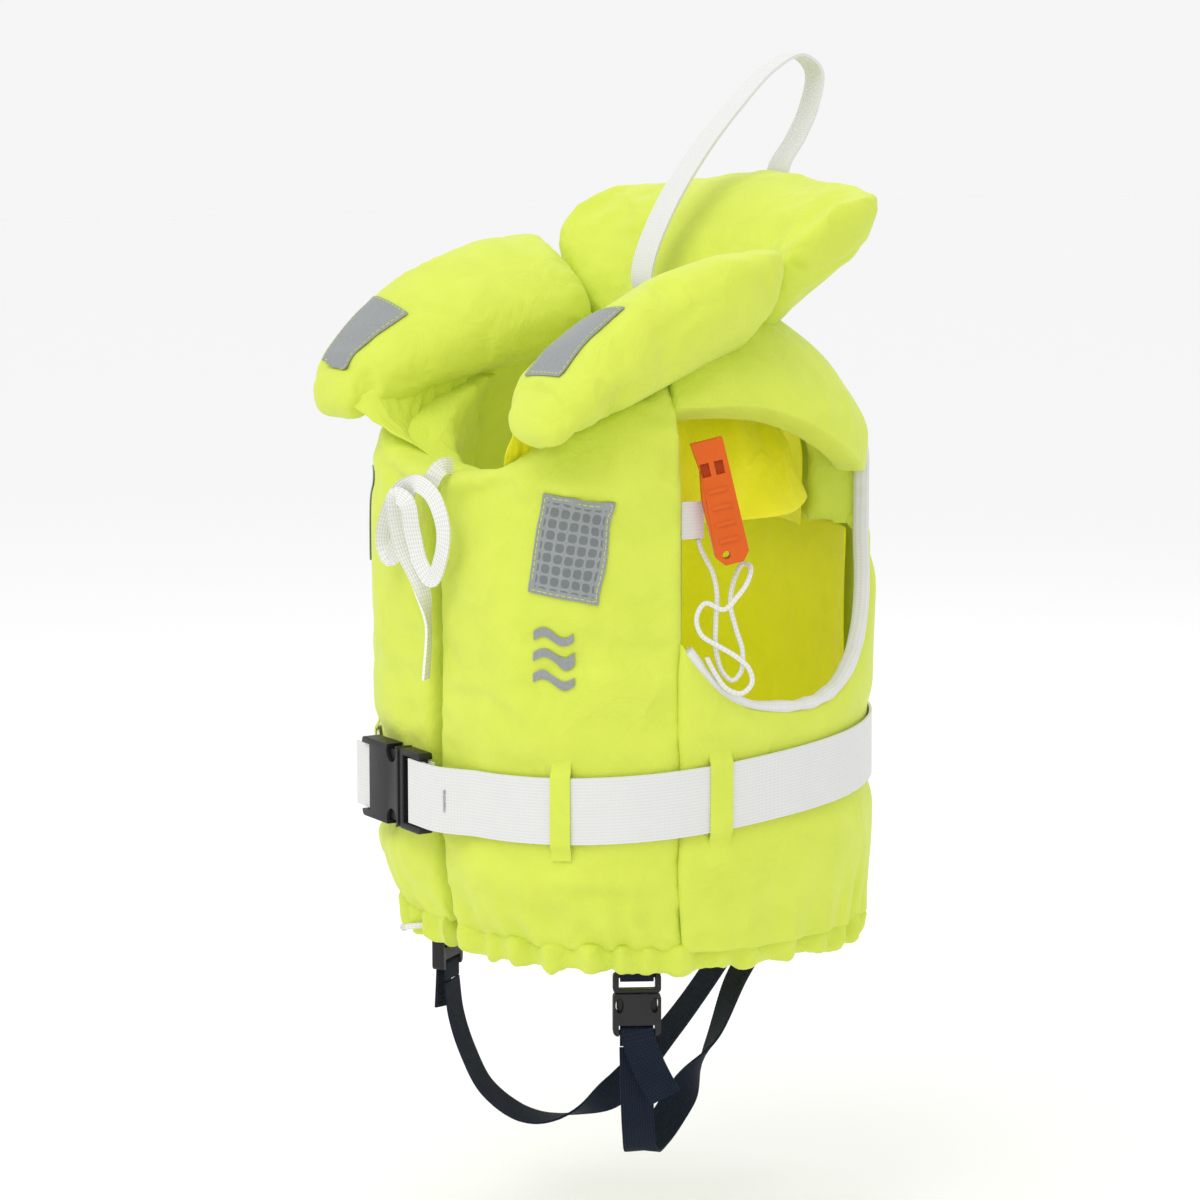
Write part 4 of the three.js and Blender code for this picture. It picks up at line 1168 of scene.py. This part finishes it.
def chest_place(side):
    def place(u, v):
        height = PATCH_HEIGHT + PATCH_TALL * v - PATCH_DROP * (u - 0.5)
        degrees = PATCH_FROM + PATCH_SPAN * u + 0.07 * (height - 258)
        return torso(side * degrees, height, 6)
    return place


for name, side in SIDES.items():
    place = chest_place(side)
    piece = lay_on(f"chest_tape_{name}", 28, 34, CHEST_PATCH, place, panels[name])
    finish(piece, chest_finish, "jacket", (f"chest_patch_{name}",), "reflective", 50)
    line = press_on(border(place, CHEST_PATCH, 0.0026), panels[name], 0.0012)
    stitch(f"chest_tape_stitch_{name}", line, away_from(panels[name]), lime_thread,
           "jacket", "shell_fabric")
print("chest patches done")

# %% [markdown]
# Three plain waves are printed on the chest, a sign that could be on any boat gear.

# %% Wave sign
PRINT = (0.024, 0.007)
WAVE_HEIGHT, WAVE_GAP, WAVE_SWING = 194, 12.5, 3.2
print_finish = reflective_material("grey print", PRINT, None)
waves = []
for row in (-1, 0, 1):
    def wave_place(u, v, row=row):
        height = WAVE_HEIGHT + WAVE_GAP * row + WAVE_SWING * math.sin(2 * math.pi * u) + 6.5 * v
        return torso(31 + 11 * u, height, 6)
    waves.append(lay_on("wave_sign", 30, 6, PRINT, wave_place, panels["left"], 0.0003))
only(waves[0])
for piece in waves:
    piece.select_set(True)
bpy.ops.object.join()
finish(bpy.context.object, print_finish, "jacket", ("chest_emblem",), "emblem_print", 50)
print("wave sign done")

# %% [markdown]
# The collar patches take their corners from the CAD patch, so that they sit where
# the frame puts them whatever the cushion's shape. The right one sits a little
# nearer the tip of its wing.

# %% Collar patches
RIGHT_SHIFT = Vector((-4, -11, -4))


def four_corners(node):
    points = read(nodes[node].data)
    middle = points.mean(0)
    axes = np.linalg.svd(points - middle)[2]
    first, second = axes[0] * math.copysign(1, axes[0][1]), axes[1] * math.copysign(1, axes[1][0])
    flat = np.stack([(points - middle) @ first, (points - middle) @ second], 1)
    flat /= np.abs(flat).max(0)
    return [Vector(points[np.argmax(flat @ (a, b))]) for a, b in ((-1, -1), (1, -1), (1, 1), (-1, 1))]


for name, side in SIDES.items():
    a, b, c, d = four_corners(f"collar_patch_{name}")
    size = ((b - a).length, (d - a).length)
    shift = Vector((0, 0, 0)) if side > 0 else RIGHT_SHIFT * MM

    def place(u, v, a=a, b=b, c=c, d=d, shift=shift):
        return a.lerp(b, u).lerp(d.lerp(c, u), v + 0.5) + shift

    finish_here = reflective_material(f"reflective tape {name}", size, None)
    piece = lay_on(f"collar_tape_{name}", 24, 24, size, place, collars[name])
    finish(piece, finish_here, f"collar_{name}", (f"collar_patch_{name}",), "reflective", 50)
    line = press_on(border(place, size, 0.0026), collars[name], 0.0012)
    stitch(f"collar_tape_stitch_{name}", line, away_from(collars[name]), lime_thread,
           f"collar_{name}", "shell_fabric")
print("collar patches done")

# %% [markdown]
# Lifting loop: a strap with both ends sewn into the rear cushion. It stands up
# in an arch behind the head and is a little wavy, as stiff webbing is.

# %% Lifting loop
LIFT_STATIONS = [
    (27.1, 386), (15, 404), (17, 420), (33, 452), (57, 484), (84, 512), (112, 536), (134, 545),
    (149, 535), (145, 512), (134, 492), (122, 476), (118.9, 462)]
line = smooth_route([(0, y, z) for y, z in LIFT_STATIONS], 0.003)
loop_strap = ribbon("lifting_strap", line, 0.020, 0.0018, lambda share, tangent: Vector((
    1, 0.10 * math.sin(7 * share), 0)))
finish(loop_strap, white_webbing, "collar_rear", ("lifting_loop",), "white_webbing", 40)
print("lifting loop:", round(length_of(line), 3), "m")

# %% [markdown]
# Armhole binding: soft white tape folded over the cloth edge. It runs under the
# arm and up the back edge, and puckers where the curve is tight.

# %% Armhole binding
BINDING_FROM, BINDING_TO, BINDING_INSET = 71.2, 144.6, 3.8


def binding_line(side):
    under = [torso(side * a, side_top(a) + 2.4, -BINDING_INSET)
             for a in np.linspace(BINDING_FROM, BINDING_TO, 60)]
    last = 145.0
    up = [torso(side * last, z, -BINDING_INSET) for z in np.linspace(side_top(last) + 6, ARM_TOP, 50)]
    return under + up


for name, side in SIDES.items():
    line = binding_line(side)
    count = len(line) - 1

    def place(u, v, line=line, count=count, side=side):
        index = min(int(u * count), count - 1)
        middle = line[index].lerp(line[index + 1], u * count - index)
        tangent = (line[min(index + 2, count)] - line[max(index - 1, 0)]).normalized()
        off = Vector((middle.x, middle.y, 0)).normalized()
        over = tangent.cross(off).normalized()
        turn = 2 * math.pi * (v + 0.5)
        pucker = 1 + 0.16 * math.sin(u * 95 + 3 * noise.noise(Vector((u * 9, side, 0))))
        deep = 5.0 * signed_power(math.cos(turn), 0.7)
        high = 3.3 * pucker * signed_power(math.sin(turn), 0.8)
        return middle + (off * deep + over * high) * MM

    piece = tube_from(f"armhole_tape_{name}", 170, 16, (0.42, 0.02), place)
    finish(piece, white_webbing, "jacket", (f"armhole_binding_{name}",), "white_webbing")
print("armhole bindings done")

# %% [markdown]
# Neck lace: flat white tape, tied in a bow of drooping loops with one thin tail.

# %% Neck lace
LACE_STATIONS = [
    (10, -135, 300.7), (11, -143, 300.9), (11, -148, 297), (9, -150, 291), (-2, -151, 290),
    (-14, -151, 284), (-24, -151, 268), (-29, -150, 250), (-24, -150, 241), (-16, -151, 252),
    (-9, -153, 272), (0, -156, 288), (10, -158, 291), (20, -157, 284), (25, -155, 266),
    (20, -153, 246), (12, -152, 234), (5, -153, 242), (4, -158, 262), (5, -163, 280),
    (-3, -164, 283), (-7, -160, 268), (-6, -155, 248), (1, -150, 228), (4, -146.5, 205),
    (2, -145, 185)]
LOOSE = 1.4  # the bow is pulled this much wider than its CAD route
spread = [(x * LOOSE if z > 225 else x, y, z) for x, y, z in LACE_STATIONS[:-1]]
line = smooth_route(spread + [(2, -147, 171)], 0.002)


def lace_width(share, tangent):
    lean = 0.5 * math.sin(9 * share)
    facing = Vector((0.75 + lean, -0.8, 0.1))
    edge_on = ease(share, 0.84, 0.93)
    return tangent.cross(facing).lerp(facing, 0.8 * edge_on)


lace = ribbon("neck_lace", line, 0.010, 0.0016, lace_width)
finish(lace, white_cord, "jacket", ("lace",), "white_cord", 50)
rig.cord(lace, exit=line[0], length=length_of(line), diameter=0.010, far_end="bare", stiffness="limp",
        lay="hanging", path=line)
print("neck lace:", round(length_of(line), 3), "m")

# %% [markdown]
# Whistle cord: thin round braid, tied at the holder and at the whistle's lower
# hole, with loose loops between them.

# %% Whistle cord
LANYARD_STATIONS = [
    (-12, 262.5, -7.5), (-9, 254, -9), (-3, 242, -8.5), (-1, 230, -3), (-2, 214, 0), (-2, 198, 1),
    (2, 184, 1), (8, 179, 1), (13, 184, 0.5), (14, 196, -0.5), (10, 210, -1.5), (7, 224, -3),
    (10, 238, -8.5), (15, 247, -9), (19, 246, -5), (17, 238, 0), (10, 229, 4.2), (2, 222, 6),
    (-9, 226, 6), (-14, 217, 5.5), (-11, 207, 6), (-2, 201, 6.5), (8, 195, 6.5), (17, 187, 6),
    (19, 178, 5.5), (13, 172, 5.5), (4, 175, 6), (-4, 186, 6.3), (-8, 194, 7.5)]


def round_cord(name, line, diameter, sides=10):
    count = len(line) - 1
    rings, last = [], None
    for index in range(count + 1):
        tangent = (line[min(index + 1, count)] - line[max(index - 1, 0)]).normalized()
        guide = last if last else (UP if abs(tangent.z) < 0.9 else Vector((1, 0, 0)))
        last = (guide - tangent * guide.dot(tangent)).normalized()
        rings.append((line[index], last, tangent.cross(last)))

    def place(u, v):
        middle, up, across = rings[min(int(round(u * count)), count)]
        turn = 2 * math.pi * (v + 0.5)
        return middle + (up * math.cos(turn) + across * math.sin(turn)) * diameter / 2

    return tube_from(name, count, sides, (length_of(line), math.pi * diameter), place)


ACROSS_WHISTLE = Vector((0.5, 0.866, 0))
OUT_OF_WHISTLE = Vector((0.866, -0.5, 0))
WHISTLE = Vector((146, -34, 285))
stations = []
for across, height, out in LANYARD_STATIONS:
    point = WHISTLE + ACROSS_WHISTLE * across + OUT_OF_WHISTLE * out
    stations.append((point.x, point.y, height))
line = smooth_route(stations, 0.002)
whistle_cord = round_cord("whistle_cord", line, 0.003)
finish(whistle_cord, white_cord, None, ("whistle_lanyard",), "white_cord")
print("whistle cord:", round(length_of(line), 3), "m")

# %% [markdown]
# Crotch straps: flat navy webbing from each front buckle, down and round to the
# back hem. The strap turns a little along its way, as a limp strap does.

# %% Crotch straps
STRAP_STATIONS = {
    "left": [
        (102.8, -62.8, -48.3), (102, -61.5, -75), (99, -58, -103), (92, -51, -117), (84, -36, -114),
        (72, -8, -97), (58, 28, -68), (45, 56, -36), (28, 90, -12), (14, 108, 0), (12, 112, 10)],
    "right": [
        (-102.8, -62.8, -48.7), (-102, -60, -72), (-99, -53, -97), (-93, -42, -122), (-84, -20, -141),
        (-74, 0, -144), (-58, 30, -131), (-40, 66, -88), (-24, 96, -40), (-15, 110, -10),
        (-14, 112, 10)],
}
INWARD = {name: Vector((-0.8545 * side, 0.5194, 0)) for name, side in SIDES.items()}
straps, strap_lines = {}, {}
for name, side in SIDES.items():
    across = UP.cross(INWARD[name]) * side

    def strap_width(share, tangent, across=across, side=side):
        return across.lerp(Vector((side, -0.05, 0)), ease(share, 0.2, 0.8))

    line = smooth_route(STRAP_STATIONS[name], 0.003)
    straps[name] = ribbon(f"crotch_webbing_{name}", line, 0.020, 0.0016, strap_width)
    strap_lines[name] = line
    finish(straps[name], navy_webbing, None, (f"crotch_strap_{name}",), "navy_webbing", 50)
    print("crotch strap", name, round(length_of(line), 3), "m")

# %% [markdown]
# Where webbing meets a buckle it goes round a bar and is sewn to itself. Each
# fold is one strap that runs in, turns round the bar, and runs out again. It is
# drawn in the buckle's own frame: along the slide, inwards, and across.

# %% Folds round the buckle bars
def frame_of(origin, along, inward, across):
    def to_world(x, y, z=0.0):
        return Vector(origin) * MM + (Vector(along) * x + Vector(inward) * y + Vector(across) * z) * MM
    return to_world


BUCKLE_AT = (-24, -140.2, 100.336)
belt_frame = frame_of(BUCKLE_AT, (0.9968, -0.0797, 0), (0.0797, 0.9968, 0), (0, 0, 1))
crotch_frames = {}
for name, side in SIDES.items():
    across = UP.cross(INWARD[name])
    crotch_frames[name] = frame_of((102.044 * side, -62.029, -14), (0, 0, 1), INWARD[name], across)


def fold_line(bar, sign, middle, outer_reach, inner_reach, bar_half, slant=0.0):
    start, radius = bar - sign * bar_half, 2.6
    stations = [(bar + sign * outer_reach * k / 8, middle - radius, slant * (k / 8) ** 1.3)
                for k in range(8, 0, -1)]
    stations += [(start - sign * radius * 0.6 * math.cos(t), middle + radius * math.sin(t), 0)
                 for t in np.linspace(-math.pi / 2, math.pi / 2, 9)]
    stations += [(bar + sign * inner_reach * k / 5, middle + radius, 0) for k in range(1, 6)]
    return stations


def webbing_fold(name, to_world, stations, width, material, body, node, slot, way):
    line = [to_world(*station) for station in stations]
    piece = ribbon(name, line, width, 0.0015, lambda share, tangent: way)
    return finish(piece, material, body, (node,), slot, 50)


webbing_fold("belt_end", belt_frame, fold_line(24.5, 1, -5.5, 9, 8, 2.8), 0.040, white_webbing,
             "buckle_tongue", "belt_end_loop", "white_webbing", UP)

# %% [markdown]
# The belt's front stretch runs from the tongue's bar to the first keeper. One end
# lies in the buckle's frame and the other on the panel, and a row of thread tacks
# it down beside the bar.

# %% The belt's front stretch
LEAD_FROM, LEAD_SPAN, LEAD_INWARD = -3, 41, -8.6


def lead_place(u, v):
    degrees = LEAD_FROM + LEAD_SPAN * u
    on_panel = torso(degrees, belt_height(degrees) + BELT_WIDTH * v, BELT_LIFT)
    in_buckle = belt_frame(on_panel.x / MM - BUCKLE_AT[0], LEAD_INWARD, BELT_WIDTH * v)
    return in_buckle.lerp(on_panel, ease(degrees, 2, 14))


lead = wrap("belt_lead", 60, 6, (0.11, BELT_WIDTH * MM), WEBBING * MM, lead_place)
finish(lead, white_webbing, None, (), "white_webbing", 40)
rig.blend(lead, "buckle_tongue", "jacket", lead_place(0, 0), lead_place(0.6, 0))
tack = [lead_place(0.235 + 0.012 * (k % 2), (k - 12) / 70) for k in range(25)]
tack = press_on(tack, lead, 0.0003)
stitch("belt_bar_tack", tack, away_from(lead), tack_thread, "jacket", "white_webbing",
       length=0.0018, gap=0.0003, thick=0.0006)
print("belt lead done")

# %% [markdown]
# The belt's other end goes round the socket's bar. Each crotch buckle hangs in a
# short tab from the hem, and its strap is folded round the lower bar.

# %% The other folds
webbing_fold("belt_wrap", belt_frame, fold_line(-45.5, -1, -5.5, 14, 12, 2.8), 0.040, white_webbing,
             "jacket", "belt_tail", "white_webbing", UP)
for name, side in SIDES.items():
    across = UP.cross(INWARD[name])
    webbing_fold(f"crotch_hanger_{name}", crotch_frames[name], fold_line(11, 1, -4, 13, 13, 1.8), 0.020,
                 navy_webbing, "jacket", f"crotch_tab_{name}", "navy_webbing", across)
    reach, slant = (40, -17) if side > 0 else (28, -3)
    webbing_fold(f"crotch_end_{name}", crotch_frames[name],
                 fold_line(-24.5, -1, -4, reach, 9, 1.8, slant), 0.020, navy_webbing,
                 f"crotch_socket_{name}", f"crotch_fold_{name}", "navy_webbing", across)
print("folds done")

# %% [markdown]
# Small white webbing tabs: one holds the whistle at the armhole's edge, and one
# on each shoulder shows under the collar.

# %% Webbing tabs
HOLDER_HEIGHT, HOLDER_WIDTH, TAB_HEIGHT, TAB_DEGREES = 274, 22, 371, 80
BACKWARDS, SIDEWAYS = Vector((0.1, 0.99, 0)), Vector((0.99, -0.1, 0))


def holder_place(u, v):
    seat = torso(70, HOLDER_HEIGHT, -3)
    spot = seat + (BACKWARDS * (2 + 15 * u) + SIDEWAYS * (-6.2 + 0.6 * math.sin(3 * u))) * MM
    return Vector((spot.x, spot.y, (HOLDER_HEIGHT + HOLDER_WIDTH * v) * MM))


holder = wrap("whistle_tab", 10, 8, (0.017, 0.022), 0.0018, holder_place)
finish(holder, white_webbing, "jacket", ("whistle_holder",), "white_webbing", 50)
for name, side in SIDES.items():
    def tab_place(u, v, side=side):
        roll = 2.4 * math.sin(math.pi * u)
        return torso(side * (TAB_DEGREES + 9 * u), TAB_HEIGHT + 15 * v, 2 + roll)
    piece = wrap(f"shoulder_strap_{name}", 12, 8, (0.024, 0.015), 0.0018, tab_place)
    finish(piece, white_webbing, "jacket", (f"shoulder_tab_{name}",), "white_webbing", 50)
print("tabs done")

# %% [markdown]
# Buckles and whistle are moulded plastic. Their CAD solids already have the real
# shape, so each is copied, its loose faces are merged, and its edges are rounded
# with a Bevel modifier, because a sharp moulded edge never catches the light.

# %% Moulded pieces
def moulded(name, node, material, body, slot, radius, segments=2):
    piece = bpy.data.objects.new(name, nodes[node].data.copy())
    scene.collection.objects.link(piece)
    only(piece)
    bpy.ops.object.mode_set(mode="EDIT")
    bpy.ops.mesh.select_all(action="SELECT")
    bpy.ops.mesh.remove_doubles(threshold=0.00002)
    bpy.ops.mesh.dissolve_limited(angle_limit=math.radians(4))
    bpy.ops.object.mode_set(mode="OBJECT")
    apply(piece, "BEVEL", width=radius, segments=segments, limit_method="ANGLE",
          angle_limit=math.radians(32), use_clamp_overlap=True, harden_normals=False)
    return finish(piece, material, body, (node,), slot, 35)


moulded("belt_buckle_socket", "buckle_socket", black_plastic, "jacket", "black_plastic", 0.0009, 3)
moulded("belt_buckle_tongue", "buckle_tongue", black_plastic, "buckle_tongue", "black_plastic", 0.0006)

# %% [markdown]
# The open middle of the belt's tongue is closed by a thin web between its rails.

# %% Web in the belt's tongue
WEB_SIZE, WEB_ALONG, WEB_INWARD = (17, 1.2, 42), 13.2, -2.2
bpy.ops.mesh.primitive_cube_add(size=1)
plate = bpy.context.object
plate.name = "belt_tongue_web"
write(plate, [belt_frame(WEB_ALONG + WEB_SIZE[0] * x, WEB_INWARD + WEB_SIZE[1] * y, WEB_SIZE[2] * z)
              for x, y, z in read(plate.data)])
finish(plate, black_plastic, "buckle_tongue", (), "black_plastic", 35)
print("tongue web done")

# %% [markdown]
# The small arms and the crotch buckles get a finer edge than the belt's buckle.

# %% Arms, crotch buckles and whistle
for end in ("upper", "lower"):
    moulded(f"belt_buckle_arm_{end}", f"buckle_arm_{end}", black_plastic,
            f"buckle_arm_{end}", "black_plastic", 0.0004)
for name in SIDES:
    moulded(f"crotch_buckle_socket_{name}", f"crotch_socket_{name}", black_plastic,
            f"crotch_socket_{name}", "black_plastic", 0.0006)
    moulded(f"crotch_buckle_tongue_{name}", f"crotch_tongue_{name}", black_plastic,
            "jacket", "black_plastic", 0.0004)
    for end in ("front", "back"):
        moulded(f"crotch_buckle_arm_{end}_{name}", f"crotch_arm_{end}_{name}", black_plastic,
                f"crotch_arm_{end}_{name}", "black_plastic", 0.0003)
moulded("whistle_body", "whistle", orange_plastic, "whistle", "orange_plastic", 0.0007, 3)
print("moulded pieces done")

# %% [markdown]
# The hem's drawcord is hidden in its sleeve apart from one end, which comes out
# at the front and is melted into a small bead.

# %% Drawcord end
line = smooth_route([torso(-12, 8, -3) / MM, torso(-15, 6, 4) / MM, torso(-19, 3, 8) / MM], 0.001)


def cord_end_place(u, v):
    index = min(int(u * (len(line) - 1)), len(line) - 2)
    tangent = (line[index + 1] - line[index]).normalized()
    over = tangent.cross(UP).normalized()
    turn = 2 * math.pi * (v + 0.5)
    swell = 1.9 + 0.5 * ease(u, 0.75, 0.9) - 1.9 * ease(u, 0.93, 1.02)
    return line[index] + (over * math.cos(turn) + tangent.cross(over) * math.sin(turn)) * swell * MM


cord_end = tube_from("drawcord_end", len(line) * 2, 12, (0.02, 0.012), cord_end_place)
finish(cord_end, white_cord, "jacket", ("hem_drawcord",), "white_cord")

# %% [markdown]
# A strap or cord that goes from the jacket to a part that moves has to bend
# between the two, so it is blended: one end follows the jacket, the other the part.

# %% Cords and straps that bend with a joint
for name, side in SIDES.items():
    line = strap_lines[name]
    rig.blend(straps[name], f"crotch_socket_{name}", "jacket", line[0], (line[-1].x, line[-1].y, 0.0))
    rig.cord(straps[name], exit=line[0], length=length_of(line), diameter=0.020, far_end="object",
            stiffness="limp", lay="hanging", path=line)
cord_line = smooth_route(stations, 0.002)
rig.blend(whistle_cord, "jacket", "whistle", cord_line[0], WHISTLE * MM + Vector((0.01, 0, -0.03)))
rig.cord(whistle_cord, exit=cord_line[0], length=length_of(cord_line), diameter=0.003, far_end="object",
        stiffness="limp", lay="loose", path=cord_line)
print("blended:", [piece.name for piece in (*straps.values(), whistle_cord)])

# %% [markdown]
# A plain pale floor, and two wide soft lights under an even bright sky. Wide
# lights give the gentle shading that lets folds show without hard shadows. The
# floor lies below the straps' lowest point, because they swing down when moved.

# %% Floor and light
FLOOR_GAP, SKY = 0.055, 0.92


def pale_material():
    material, tree, shader = new_material("pale floor")
    shader.inputs["Base Color"].default_value = (1, 1, 1, 1)
    shader.inputs["Roughness"].default_value = 0.9
    return material


bpy.ops.object.select_all(action="DESELECT")
bpy.ops.mesh.primitive_plane_add(size=30, location=(0, 0, cad_box[0][2] - FLOOR_GAP))
floor = bpy.context.object
floor.name = "floor"
floor.data.materials.append(pale_material())
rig.stage(floor)


def soft_light(name, azimuth, elevation, distance, size, power, target=(0, 0, 0.2)):
    turn, lift = math.radians(azimuth), math.radians(elevation)
    spot = Vector(target) + distance * Vector((
        math.sin(turn) * math.cos(lift), -math.cos(turn) * math.cos(lift), math.sin(lift)))
    bpy.ops.object.light_add(type="AREA", location=spot)
    light = bpy.context.object
    light.name = name
    light.data.energy = power
    light.data.size = size
    light.rotation_euler = (Vector(target) - spot).to_track_quat("-Z", "Y").to_euler()
    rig.stage(light)
    return light


soft_light("key", azimuth=20, elevation=52, distance=2.2, size=1.6, power=15)
soft_light("back", azimuth=215, elevation=45, distance=2.4, size=1.8, power=7)
world = bpy.data.worlds.new("studio")
world.use_nodes = True
world.node_tree.nodes["Background"].inputs[0].default_value = (1, 1, 1, 1)
world.node_tree.nodes["Background"].inputs[1].default_value = SKY
scene.world = world
scene.view_settings.view_transform = "Standard"
print("lights:", [o.name for o in bpy.data.objects if o.type == "LIGHT"])

# %% [markdown]
# Last, the sizes are written down: the CAD box and the finished model's box.

# %% Sizes and finish
with open("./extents.json", "w") as report:
    json.dump({"cad": [list(corner) for corner in cad_box],
               "visual": [list(corner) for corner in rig.bounds()]}, report)
